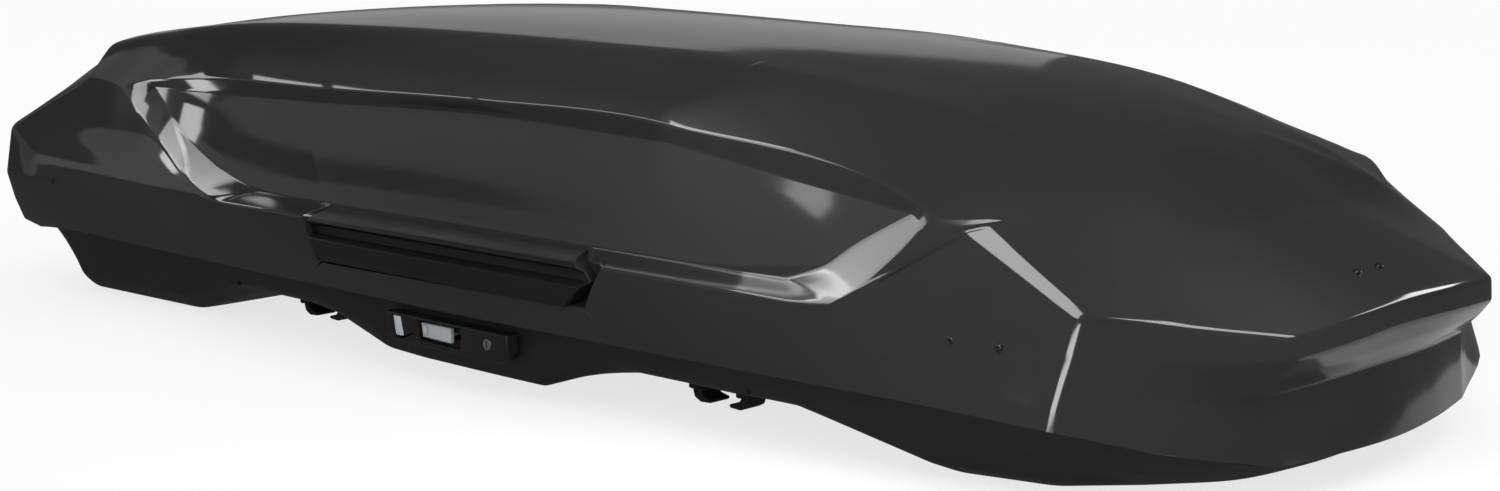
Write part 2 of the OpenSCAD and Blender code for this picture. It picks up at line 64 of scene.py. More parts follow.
# ------------------------------------------------------------------------------------ materials
def linear(hex_colour: str) -> tuple[float, float, float, float]:
    """Turns an sRGB hex colour into linear light.

    Args:
        hex_colour: six hex digits, such as "1b1b1c".

    Returns:
        Red, green, blue and an alpha of 1.
    """
    parts = [int(hex_colour[i : i + 2], 16) / 255 for i in (0, 2, 4)]
    red, green, blue = (c / 12.92 if c <= 0.04045 else ((c + 0.055) / 1.055) ** 2.4 for c in parts)
    return red, green, blue, 1.0


def add_node(tree: bpy.types.NodeTree, kind: str, links: Optional[dict] = None, **settings) -> bpy.types.Node:
    """Adds a node with its settings and links.

    Args:
        tree: the node tree.
        kind: the node's type name.
        links: input name or number to the output socket that feeds it.
        settings: input values by name, with spaces as underscores, or node attributes.

    Returns:
        The new node.
    """
    node = tree.nodes.new(kind)
    for key, value in settings.items():
        label = key.replace("_", " ").lower()
        if hasattr(node, key):
            setattr(node, key, value)
        else:
            next(s for s in node.inputs if s.name.lower() == label).default_value = value
    for key, source in (links or {}).items():
        tree.links.new(source, node.inputs[key])
    return node


class Pattern(Enum):
    """How a finish's fine relief was made."""

    POLISHED = "polished"
    SPARK_GRAIN = "spark eroded grain"
    BRUSHED = "brushed"
    RIBBED = "ribbed"


@dataclass(frozen=True)
class Finish:
    """One real surface finish and the numbers that give its look."""

    name: str
    colour: str
    fleck: str
    roughness: float
    roughness_spread: float
    pattern: Pattern
    grain_mm: float
    relief_mm: float
    metallic: float = 0.0
    ior: float = 1.5
    coat: float = 0.0

    def material(self) -> bpy.types.Material:
        """Builds the finish as a node material, once.

        Returns:
            The material, shared by every piece with this finish.
        """
        found = bpy.data.materials.get(self.name)
        if found:
            return found
        made = bpy.data.materials.new(self.name)
        made.use_nodes = True
        tree = made.node_tree
        tree.nodes.clear()
        place = add_node(tree, "ShaderNodeTexCoord").outputs["Object"]
        grain = self.grain(tree, place)
        drift = add_node(tree, "ShaderNodeTexNoise", {"Vector": place}, Scale=9.0, Detail=3.0)
        tone = add_node(tree, "ShaderNodeMix", {0: drift.outputs["Fac"]}, data_type="RGBA")
        tone.inputs[6].default_value = linear(self.colour)
        tone.inputs[7].default_value = linear(self.fleck)
        low = max(0.02, self.roughness - self.roughness_spread)
        wear = add_node(tree, "ShaderNodeMapRange", {"Value": drift.outputs["Fac"]},
                        To_Min=low, To_Max=self.roughness + self.roughness_spread)
        bump = add_node(tree, "ShaderNodeBump", {"Height": grain}, Strength=1.0, Distance=self.relief_mm * MM)
        shader = add_node(tree, "ShaderNodeBsdfPrincipled",
                          {"Base Color": tone.outputs[2], "Roughness": wear.outputs["Result"],
                           "Normal": bump.outputs["Normal"]},
                          Metallic=self.metallic, IOR=self.ior, Coat_Weight=self.coat, Coat_Roughness=0.05)
        out = add_node(tree, "ShaderNodeOutputMaterial", {"Surface": shader.outputs["BSDF"]})
        out.target = "ALL"
        return made

    def grain(self, tree: bpy.types.NodeTree, place: bpy.types.NodeSocket) -> bpy.types.NodeSocket:
        """Adds the nodes for the finish's relief.

        Args:
            tree: the material's node tree.
            place: the socket that gives the position in metres.

        Returns:
            The socket that gives the height, from 0 to 1.
        """
        per_metre = 1.0 / (self.grain_mm * MM)
        if self.pattern is Pattern.BRUSHED:
            stretched = add_node(tree, "ShaderNodeMapping", {"Vector": place})
            stretched.inputs["Scale"].default_value = (0.04, 1.0, 1.0)
            place = stretched.outputs["Vector"]
        if self.pattern is Pattern.RIBBED:
            wave = add_node(tree, "ShaderNodeTexWave", {"Vector": place},
                            Scale=per_metre / WAVE_BANDS, Distortion=0.0)
            return wave.outputs["Fac"]
        noise = add_node(tree, "ShaderNodeTexNoise", {"Vector": place}, Scale=per_metre, Detail=2.0)
        return noise.outputs["Fac"]


# Gloss black ABS with an acrylic cap: a deep mirror with a very slight moulding waviness
LID_ABS = Finish("Gloss black ABS, acrylic capped", "1e1e1f", "212122", 0.10, 0.015, Pattern.POLISHED,
                 90.0, 0.10, ior=1.49)
# Black ABS from a spark-eroded tool: no mirror, a soft grey sheen
BASE_ABS = Finish("Grained black ABS", "141414", "181818", 0.48, 0.05, Pattern.SPARK_GRAIN, 2.2, 0.10)
# Glass-filled nylon moulding, finely grained: darker and softer than the lid
GRIP_NYLON = Finish("Grained black nylon", "0c0c0c", "121212", 0.42, 0.06, Pattern.SPARK_GRAIN, 1.6, 0.06)
# Satin nylon moulding: small broad highlights
LOCK_NYLON = Finish("Satin black nylon", "111112", "161617", 0.36, 0.05, Pattern.SPARK_GRAIN, 1.4, 0.04)
# Grey acetal that a thumb slides: satin, a little rubbed
SLIDE_ACETAL = Finish("Grey acetal", "8a9195", "949b9f", 0.38, 0.06, Pattern.SPARK_GRAIN, 1.2, 0.03)
# Clear-fronted grey indicator: smooth and light
WINDOW_ACRYLIC = Finish("Grey acrylic window", "9aa2a7", "a3abaf", 0.15, 0.03, Pattern.POLISHED, 20.0, 0.02)
# Nickel-plated key barrel: a soft metal shine
KEY_NICKEL = Finish("Satin nickel plate", "c9c9c6", "d4d4d2", 0.28, 0.05, Pattern.BRUSHED, 0.8, 0.02,
                    metallic=1.0)
# Black lacquered rivet: small hard glints
RIVET_LACQUER = Finish("Black lacquered steel", "101011", "161617", 0.18, 0.04, Pattern.POLISHED, 6.0, 0.03)
# Zinc-plated pressed steel: dull grey metal
ZINC_STEEL = Finish("Zinc plated steel", "9a9c9e", "a9abad", 0.38, 0.08, Pattern.BRUSHED, 1.5, 0.03,
                    metallic=1.0)
# Anodised aluminium extrusion: fine lengthwise lines
ARM_ALUMINIUM = Finish("Anodised aluminium", "a9abae", "b4b6b8", 0.32, 0.05, Pattern.BRUSHED, 1.0, 0.02,
                       metallic=1.0)
# Ribbed rubber mat: dark and soft
MAT_RUBBER = Finish("Ribbed rubber mat", "1a1a1b", "222223", 0.75, 0.06, Pattern.RIBBED, 12.0, 0.8)
# Moulded rubber on the claws and seats: nearly black, no shine
CLAW_RUBBER = Finish("Moulded rubber", "121212", "181818", 0.62, 0.06, Pattern.SPARK_GRAIN, 2.0, 0.08)
# Painted studio floor: pale and even
FLOOR_PAINT = Finish("Matt studio paint", "f4f4f4", "f7f7f7", 0.9, 0.04, Pattern.SPARK_GRAIN, 30.0, 0.02)


# ------------------------------------------------------------------------------------ workbench
def select_only(piece: bpy.types.Object) -> None:
    """Selects one object and makes it active.

    Args:
        piece: the object to work on.
    """
    bpy.ops.object.select_all(action="DESELECT")
    piece.select_set(True)
    bpy.context.view_layer.objects.active = piece


def settle(piece: bpy.types.Object) -> None:
    """Puts a piece's place and size into its mesh, so that its object sits at the origin.

    Args:
        piece: the object to settle.
    """
    select_only(piece)
    bpy.ops.object.transform_apply(location=True, rotation=True, scale=True)


def pick(piece: bpy.types.Object, kind: str, test: Callable[[object], bool]) -> None:
    """Selects parts of a mesh that is in edit mode by their place or direction.

    Args:
        piece: the object in edit mode.
        kind: "faces", "edges" or "verts".
        test: says whether a part is selected.
    """
    bpy.ops.mesh.select_all(action="DESELECT")
    mode = {"faces": "FACE", "edges": "EDGE", "verts": "VERT"}[kind]
    bpy.ops.mesh.select_mode(type=mode)
    mesh = bmesh.from_edit_mesh(piece.data)
    for part in getattr(mesh, kind):
        part.select_set(bool(test(part)))
    mesh.select_flush_mode()
    bmesh.update_edit_mesh(piece.data)


def apply_all(piece: bpy.types.Object) -> None:
    """Applies every modifier on a piece, in order.

    Args:
        piece: the object to finish.
    """
    select_only(piece)
    for modifier in list(piece.modifiers):
        bpy.ops.object.modifier_apply(modifier=modifier.name)


def soften(piece: bpy.types.Object, width: float, segments: int = 3, angle: float = 30.0) -> None:
    """Rounds a piece's sharp edges and shades it smooth between them.

    Args:
        piece: the object to finish.
        width: width of the rounding, in millimetres.
        segments: faces across each rounding.
        angle: edges sharper than this, in degrees, are rounded.
    """
    bevel = piece.modifiers.new("rounding", "BEVEL")
    bevel.width = width * MM
    bevel.segments = segments
    bevel.limit_method = "ANGLE"
    bevel.angle_limit = math.radians(angle)
    bevel.harden_normals = False
    apply_all(piece)
    bpy.ops.object.shade_smooth_by_angle(angle=CRISP)


def block(name: str, low: Sequence[float], high: Sequence[float]) -> bpy.types.Object:
    """Adds a cube primitive that spans two corners.

    Args:
        name: the piece's name.
        low: lowest corner, in millimetres.
        high: highest corner, in millimetres.

    Returns:
        The settled object.
    """
    middle = [(a + b) / 2 * MM for a, b in zip(low, high)]
    bpy.ops.object.select_all(action="DESELECT")
    bpy.ops.mesh.primitive_cube_add(size=1, location=middle)
    piece = bpy.context.object
    piece.name = name
    piece.scale = [(b - a) * MM for a, b in zip(low, high)]
    settle(piece)
    return piece


def barrel(name: str, radius: float, start: Sequence[float], end: Sequence[float],
           sides: int = 48) -> bpy.types.Object:
    """Adds a cylinder primitive from one point to another.

    Args:
        name: the piece's name.
        radius: in millimetres.
        start: middle of one end, in millimetres.
        end: middle of the other end.
        sides: faces round it.

    Returns:
        The settled object.
    """
    a, b = Vector(start) * MM, Vector(end) * MM
    bpy.ops.object.select_all(action="DESELECT")
    bpy.ops.mesh.primitive_cylinder_add(vertices=sides, radius=radius * MM, depth=(b - a).length,
                                        location=(a + b) / 2)
    piece = bpy.context.object
    piece.name = name
    piece.rotation_mode = "QUATERNION"
    piece.rotation_quaternion = (b - a).to_track_quat("Z", "Y")
    settle(piece)
    return piece


class Plane(Enum):
    """The plane that an outline is drawn in; it is then extruded along the third axis."""

    XZ = (0, 2, 1)
    YZ = (1, 2, 0)
    XY = (0, 1, 2)


def prism(name: str, outline: Sequence[Flat], plane: Plane, low: float, high: float) -> bpy.types.Object:
    """Extrudes an outline: a filled circle primitive takes the outline's points and is drawn out.

    Args:
        name: the piece's name.
        outline: corners in the plane, in millimetres, in order.
        plane: the plane of the outline.
        low: where the prism starts along the third axis.
        high: where it ends.

    Returns:
        The settled object, with its faces pointing outwards.
    """
    first, second, third = plane.value
    bpy.ops.object.select_all(action="DESELECT")
    bpy.ops.mesh.primitive_circle_add(vertices=len(outline), radius=1, fill_type="NGON")
    piece = bpy.context.object
    piece.name = name
    for vertex, (a, b) in zip(piece.data.vertices, outline):
        vertex.co[first], vertex.co[second], vertex.co[third] = a * MM, b * MM, low * MM
    select_only(piece)
    bpy.ops.object.mode_set(mode="EDIT")
    bpy.ops.mesh.select_all(action="SELECT")
    step = [0.0, 0.0, 0.0]
    step[third] = (high - low) * MM
    bpy.ops.mesh.extrude_region_move(TRANSFORM_OT_translate={"value": step})
    bpy.ops.mesh.select_all(action="SELECT")
    bpy.ops.mesh.normals_make_consistent(inside=False)
    bpy.ops.object.mode_set(mode="OBJECT")
    return piece


def slice_off(piece: bpy.types.Object, point: Sequence[float], normal: Sequence[float]) -> None:
    """Cuts a piece with a plane, drops what is on the normal's side and closes the cut.

    Args:
        piece: the object to cut.
        point: a point on the plane, in millimetres.
        normal: points at what is dropped.
    """
    select_only(piece)
    bpy.ops.object.mode_set(mode="EDIT")
    bpy.ops.mesh.select_all(action="SELECT")
    bpy.ops.mesh.bisect(plane_co=[v * MM for v in point], plane_no=normal, use_fill=True, clear_outer=True)
    bpy.ops.object.mode_set(mode="OBJECT")


def carve(piece: bpy.types.Object, tool: bpy.types.Object) -> None:
    """Subtracts a tool from a piece and removes the tool.

    Args:
        piece: the object that is cut.
        tool: the shape that is taken away.
    """
    cut = piece.modifiers.new("cut", "BOOLEAN")
    cut.operation = "DIFFERENCE"
    cut.solver = "EXACT"
    cut.object = tool
    apply_all(piece)
    bpy.data.objects.remove(tool)


def join(name: str, parts: Sequence[bpy.types.Object]) -> bpy.types.Object:
    """Joins several meshes in one object.

    Args:
        name: the joined piece's name.
        parts: the objects, of which the first stays.

    Returns:
        The joined object.
    """
    select_only(parts[0])
    for part in parts:
        part.select_set(True)
    if len(parts) > 1:
        bpy.ops.object.join()
    parts[0].name = name
    return parts[0]


def flipped(piece: bpy.types.Object, name: str) -> bpy.types.Object:
    """Copies a piece to the other side of the box, with a mesh of its own.

    Args:
        piece: the piece on the left.
        name: the copy's name.

    Returns:
        The copy on the right, with its faces pointing outwards.
    """
    copy = piece.copy()
    copy.data = piece.data.copy()
    copy.name = name
    bpy.context.scene.collection.objects.link(copy)
    copy.data.transform(Matrix.Scale(-1, 4, (0, 1, 0)))
    copy.data.flip_normals()
    return copy


def dress(piece: bpy.types.Object, finish: Finish, body: str, nodes: Sequence[str] = ()) -> None:
    """Gives a piece its finish, the body it rides on and the CAD nodes it stands for.

    Args:
        piece: the finished object.
        finish: its surface.
        body: the CAD body that it moves with.
        nodes: CAD nodes that it replaces.
    """
    piece.data.materials.clear()
    piece.data.materials.append(finish.material())
    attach(piece, body)
    if nodes:
        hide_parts(*nodes)
    log.info("%s: %d faces on %s", piece.name, len(piece.data.polygons), body)


# ------------------------------------------------------------------------------------ nets
def gap(a: Sequence[float], b: Sequence[float]) -> float:
    """Distance between two points."""
    return math.dist(a, b)


@dataclass
class Chain:
    """A line of points that is smooth through some of them and has rounded corners at the others."""

    points: list[Point]
    corners: list[bool]
    radii: list[float]
    mirror_start: bool
    mirror_end: bool

    def beyond(self, k: int) -> Point:
        """The point at place k, carried on past the ends as a mirror image across the middle."""
        if 0 <= k < len(self.points):
            return self.points[k]
        inner, edge = (self.points[1], self.points[0]) if k < 0 else (self.points[-2], self.points[-1])
        if self.mirror_start if k < 0 else self.mirror_end:
            return inner[0], -inner[1], inner[2]
        return tuple(2 * e - i for e, i in zip(edge, inner))

    def tangent(self, k: int, length: float) -> Point:
        """Direction of the line through point k, times a span's length."""
        before, here, after = self.beyond(k - 1), self.points[k], self.beyond(k + 1)
        d0, d1 = max(gap(before, here), 1e-9), max(gap(here, after), 1e-9)
        return tuple(((h - b) / d0 * d1 + (a - h) / d1 * d0) / (d0 + d1) * length
                     for b, h, a in zip(before, here, after))

    def at(self, place: float) -> Point:
        """The point at a place such as 3.25, a quarter of the way from point 3 to point 4."""
        k = min(max(int(math.floor(place)), 0), len(self.points) - 2)
        t = place - k
        a, b = self.points[k], self.points[k + 1]
        length = gap(a, b)
        straight = tuple(q - p for p, q in zip(a, b))
        ta = straight if self.corners[k] else self.tangent(k, length)
        tb = straight if self.corners[k + 1] else self.tangent(k + 1, length)
        h0, h1 = 2 * t**3 - 3 * t**2 + 1, t**3 - 2 * t**2 + t
        h2, h3 = 3 * t**2 - 2 * t**3, t**3 - t**2
        return tuple(a[n] * h0 + ta[n] * h1 + b[n] * h2 + tb[n] * h3 for n in range(3))

    def reach(self, k: int, side: int) -> float:
        """How far, as a share of the next span, the rounding at point k reaches to one side."""
        length = gap(self.points[k], self.points[k + side])
        return min(self.radii[k] / max(length, 1e-9), 0.42)

    def around(self, k: int, s: float) -> Point:
        """A point of the rounding at point k, with s from -1 before it to 1 after it."""
        back, ahead = self.reach(k, -1), self.reach(k, 1)
        if not self.corners[k]:
            return self.at(k + (s * ahead if s > 0 else s * back))
        a, p, b = self.at(k - back), self.points[k], self.at(k + ahead)
        t = (s + 1) / 2
        return tuple(a[n] * (1 - t) ** 2 + p[n] * 2 * t * (1 - t) + b[n] * t * t for n in range(3))

    def walk(self, steps: Sequence[int], rounding: int) -> list[Point]:
        """Points along the whole chain.

        Args:
            steps: number of steps in each span, between the roundings.
            rounding: number of steps in each rounding.

        Returns:
            The same number of points for any chain with these steps.
        """
        found = [self.points[0]]
        last = len(self.points) - 1
        for k in range(last):
            start = self.reach(k, 1) if k > 0 else 0.0
            end = 1 - (self.reach(k + 1, -1) if k + 1 < last else 0.0)
            found += [self.at(k + start + (end - start) * n / steps[k]) for n in range(1, steps[k] + 1)]
            if k + 1 < last:
                found += [self.around(k + 1, -1 + 2 * n / rounding) for n in range(1, rounding + 1)]
        return found


@dataclass
class NetSheet:
    """A rounded sheet over a net of given points on the box's left half, in millimetres."""

    lines: list[list[Point]]
    line_corner: Callable[[int, int], bool]
    ring_corner: Callable[[int, int], bool]
    line_radius: Callable[[int, int], float]
    ring_radius: Callable[[int, int], float]
    line_steps: Sequence[int]
    ring_steps: Sequence[int]
    rounding: int = 4

    def rows(self) -> list[list[Point]]:
        """Works out the sheet's fine grid.

        Returns:
            A list of lines, each from the rim to the middle of the box.
        """
        count, rings = len(self.lines), len(self.lines[0])
        along = []
        for j in range(rings):
            chain = Chain([self.lines[i][j] for i in range(count)],
                          [self.line_corner(i, j) for i in range(count)],
                          [self.line_radius(i, j) for i in range(count)], True, True)
            along.append(chain.walk(self.line_steps, self.rounding))
        owner = self.owners()
        grid = []
        for n in range(len(along[0])):
            i = owner[n]
            chain = Chain([along[j][n] for j in range(rings)],
                          [self.ring_corner(i, j) for j in range(rings)],
                          [self.ring_radius(i, j) for j in range(rings)], False, True)
            grid.append(chain.walk(self.ring_steps, self.rounding))
        return grid

    def owners(self) -> list[int]:
        """The net line that each fine line lies at or after."""
        found = [0]
        last = len(self.lines) - 1
        for k in range(last):
            found += [k] * self.line_steps[k]
            if k + 1 < last:
                found += [k + 1] * self.rounding
        return found

    def places(self, steps: Sequence[int]) -> list[float]:
        """Where each fine line or row lies, counted in net lines or rings."""
        share = 0.3
        found = [0.0]
        last = len(steps)
        for k in range(last):
            found += [k + share + (1 - 2 * share) * n / steps[k] for n in range(1, steps[k] + 1)]
            if k + 1 < last:
                found += [k + 1 + share * (2 * n / self.rounding - 1) for n in range(1, self.rounding + 1)]
        return found

    def build(self, name: str, wall: float, gaps: Sequence[tuple[int, int]] = ()) -> bpy.types.Object:
        """Makes the sheet from a grid primitive, mirrors it and gives it its wall.

        Args:
            name: the piece's name.
            wall: wall thickness in metres, inwards.
            gaps: net cells, as (line, ring), that stay open.

        Returns:
            The closed shell.
        """
        grid = self.rows()
        across, up = len(grid), len(grid[0])
        bpy.ops.object.select_all(action="DESELECT")
        bpy.ops.mesh.primitive_grid_add(x_subdivisions=up - 1, y_subdivisions=across - 1, size=1)
        piece = bpy.context.object
        piece.name = name
        for index, vertex in enumerate(piece.data.vertices):
            n, m = divmod(index, up)
            vertex.co = [v * MM for v in grid[n][m]]
        self.open_gaps(piece, gaps, up)
        self.close_shell(piece, wall)
        return piece

    def open_gaps(self, piece: bpy.types.Object, gaps: Sequence[tuple[int, int]], up: int) -> None:
        """Deletes the fine faces of the net cells that stay open."""
        if not gaps:
            return
        lines, rings = self.places(self.line_steps), self.places(self.ring_steps)
        select_only(piece)
        bpy.ops.object.mode_set(mode="EDIT")

        def is_open(face: bmesh.types.BMFace) -> bool:
            """Says whether a face lies in an open cell."""
            spots = [divmod(v.index, up) for v in face.verts]
            line = sum(lines[n] for n, _ in spots) / len(spots)
            ring = sum(rings[m] for _, m in spots) / len(spots)
            return (int(line), int(ring)) in gaps

        pick(piece, "faces", is_open)
        bpy.ops.mesh.delete(type="FACE")
        bpy.ops.object.mode_set(mode="OBJECT")

    def close_shell(self, piece: bpy.types.Object, wall: float) -> None:
        """Mirrors the half, welds it, turns its faces outwards and thickens it inwards."""
        mirror = piece.modifiers.new("other half", "MIRROR")
        mirror.use_axis = (False, True, False)
        mirror.merge_threshold = 0.0002
        apply_all(piece)
        bpy.ops.object.mode_set(mode="EDIT")
        bpy.ops.mesh.select_all(action="SELECT")
        bpy.ops.mesh.remove_doubles(threshold=0.00005)
        bpy.ops.mesh.normals_make_consistent(inside=False)
        bpy.ops.object.mode_set(mode="OBJECT")
        wall_maker = piece.modifiers.new("wall", "SOLIDIFY")
        wall_maker.thickness = wall
        wall_maker.offset = -1
        wall_maker.use_even_offset = False
        apply_all(piece)
        bpy.ops.object.shade_smooth_by_angle(angle=math.radians(50))


# ------------------------------------------------------------------------------------ nets of the shells
# The lid from its rim up to the ridge of the roof, left half, one line after another from tail to nose
LID_NET: list[list[Point]] = [
    # rear middle
    [(-1005, 0, 88), (-1045, 0, 96), (-1066, 0, 130), (-1080, 0, 170), (-1080, 0, 240), (-1074, 0, 250),
     (-1035, 0, 290), (-1000, 0, 322), (-960, 0, 352), (-925, 0, 375), (-900, 0, 390), (-870, 0, 400)],
    # rear, halfway out
    [(-1003, 200, 88), (-1043, 200, 96), (-1064, 200, 130), (-1080, 200, 170), (-1080, 200, 240),
     (-1074, 200, 250), (-1033, 200, 288), (-998, 198, 319), (-957, 196, 348), (-920, 194, 371),
     (-893, 190, 386), (-866, 186, 396)],
    # rear, near the corner
    [(-1001, 345, 89), (-1041, 348, 97), (-1062, 350, 130), (-1080, 352, 170), (-1079, 346, 240),
     (-1073, 342, 248), (-1030, 338, 280), (-990, 334, 308), (-945, 330, 334), (-900, 326, 356),
     (-876, 320, 376), (-856, 308, 388)],
    # rear corner
    [(-998, 403, 90), (-1040, 407, 98), (-1061, 410, 130), (-1079, 412, 170), (-1077, 401, 239),
     (-1071, 398, 247), (-1020, 394, 268), (-968, 390, 290), (-915, 386, 310), (-863, 382, 331),
     (-854, 368, 357), (-846, 352, 382)],
    # belt corner
    [(-960, 409, 94), (-975, 412, 112), (-990, 413, 135), (-1004, 411, 168), (-1014, 401, 192),
     (-1008, 396, 203), (-975, 393, 232), (-935, 389, 265), (-893, 385, 298), (-852, 382, 331),
     (-836, 368, 360), (-822, 352, 386)],
    # crease from the shoulder down to the foot of the rear arm
    [(-640, 420, 97), (-620, 426, 118), (-600, 431, 140), (-580, 436, 168), (-500, 443, 190),
     (-486, 443, 195), (-550, 428, 210), (-632, 406, 240), (-760, 390, 296), (-842, 382, 331),
     (-815, 368, 363), (-795, 351, 391)],
    # rear arm of the side frame, outer edge
    [(-560, 424, 98), (-550, 430, 119), (-540, 436, 142), (-520, 441, 168), (-462, 447, 190),
     (-460, 445, 195), (-530, 431, 209), (-615, 409, 238), (-720, 393, 294), (-774, 386, 323),
     (-745, 370, 361), (-722, 349, 401)],
    # rear arm of the side frame, inner edge
    [(-430, 430, 98), (-425, 437, 120), (-420, 442, 143), (-415, 447, 168), (-420, 449, 190),
     (-391, 413, 204), (-500, 401, 227), (-625, 386, 277), (-690, 379, 325), (-702, 385, 335),
     (-668, 369, 372), (-640, 344, 413)],
    # just behind the handle pocket
    [(-243, 435, 99), (-224, 445, 122), (-206, 450, 134), (-224, 452, 163), (-241, 452, 192),
     (-226, 413, 204), (-260, 406, 228), (-290, 395, 276), (-320, 377, 332), (-320, 386, 350),
     (-310, 345, 387.5), (-300, 293, 426)],
    # rear end of the handle pocket
    [(-234, 435, 99), (-200, 450, 134), (-200, 430, 137), (-217, 430, 164), (-233, 430, 191),
     (-217, 413, 204), (-250, 406, 228), (-280, 395, 276), (-310, 377, 332), (-310, 386, 350),
     (-300, 345, 387.5), (-290, 291, 426)],
    # middle of the handle
    [(50, 440, 99), (50, 452, 137), (50, 430, 140), (50, 430, 166), (50, 430, 191), (50, 413, 204),
     (50, 407, 230), (50, 396, 281), (50, 376, 340), (50, 387, 357), (50, 335, 388), (50, 254, 422)],
    # front end of the handle pocket
    [(318, 434, 99), (296, 451, 141), (296, 430, 144), (309, 430, 167), (326, 430, 191), (272, 413, 204),
     (310, 407, 228), (340, 396, 275), (360, 379, 332), (360, 387, 353), (360, 328, 381), (360, 240, 412)],
    # just ahead of the handle pocket
    [(328, 434, 99), (312, 446, 128), (299, 450.5, 142), (312, 452, 166), (329, 452, 192), (276, 413, 204),
     (320, 407, 228), (350, 396, 275), (370, 379, 331), (370, 387, 352), (370, 328, 380), (370, 240, 411)],
    # front arm of the side frame, inner edge
    [(600, 426, 99), (600, 433, 120), (600, 440, 143), (600, 446, 168), (612, 451, 190), (575, 413, 204),
     (618, 405, 220), (665, 393, 252), (722, 380, 286), (730, 386, 299), (706, 325, 335), (690, 226, 369)],
    # front arm of the side frame, outer edge
    [(690, 422, 99), (690, 427, 120), (690, 433, 143), (685, 440, 168), (668, 448, 193), (672, 446, 198),
     (692, 433, 213), (715, 416, 238), (742, 394, 272), (759, 386, 286), (753, 325, 320), (750, 221, 352)],
    # shoulder corner
    [(790, 417, 98), (790, 418, 120), (790, 416, 145), (790, 409, 195), (793, 392, 279), (813, 380, 285),
     (820, 375, 286), (826, 370, 287), (832, 364, 288), (840, 356, 289), (845, 310, 299), (836, 219, 322)],
    # front side corner
    [(915, 413, 96), (918, 408, 116), (921, 401, 138), (925, 391, 168), (930, 381, 202), (940, 373, 206),
     (934, 349, 220), (928, 325, 235), (922, 301, 249), (916, 280, 262), (911, 263, 272), (907, 248, 281)],
    # middle of the nose chamfer
    [(1003, 345, 76), (997, 325, 122), (1000, 318, 141), (1004, 315, 160), (1001, 303, 194),
     (999, 300, 197), (983, 276, 211.5), (967, 252, 226), (951, 228, 240), (938, 209, 251.5),
     (928, 194, 260.5), (919, 180, 268)],
    # nose corner
    [(1052, 205, 44), (1042, 214, 119), (1060, 218, 138), (1074, 221, 157), (1073, 220, 182),
     (1070, 217, 185.5), (1042, 197, 202), (1013, 176, 218.5), (985, 155, 234.5), (962, 138.5, 247.5),
     (944, 125.5, 257.5), (928, 114, 266)],
    # nose, halfway in
    [(1069, 105, 43), (1056, 110, 121), (1070, 112, 141), (1080, 114, 160), (1079, 114, 187),
     (1075.5, 112, 190.5), (1047, 101, 206.5), (1018, 90, 222), (989, 79, 237.5), (966, 70, 249.5),
     (948, 63, 259), (932, 57, 267)],
    # nose middle
    [(1076, 0, 42), (1062, 0, 123), (1073, 0, 143), (1080, 0, 162), (1080, 0, 190), (1077, 0, 193),
     (1049, 0, 208.5), (1020, 0, 224), (992, 0, 239), (969, 0, 251), (951, 0, 260.5), (935, 0, 268)],
]
# Where each line ends on the middle of the roof
ROOF_ENDS = [-700, -694, -685, -672, -660, -640, -600, -540, -310, -300, 50, 350, 360, 610, 660, 712, 742,
             757, 768, 776, 782]
# Places along the box, and there the roof height in the middle, the ridge height and the ridge half width
ROOF_X = [-870, -620, -361, -146, 42, 212, 388, 558, 684, 811, 880, 935]
CROWN_Z = [400, 427, 437, 437.4, 435, 430, 423, 407, 385, 347, 313, 268]
RIDGE_X = [-846, -620, -361, -146, 42, 212, 388, 558, 684, 811, 868, 907]
RIDGE_Z = [382, 416, 425, 425, 422, 418, 410, 393, 370, 333, 303, 281]
RIDGE_Y = [352, 342, 302, 277, 255, 243, 239, 236, 226, 218, 228, 248]
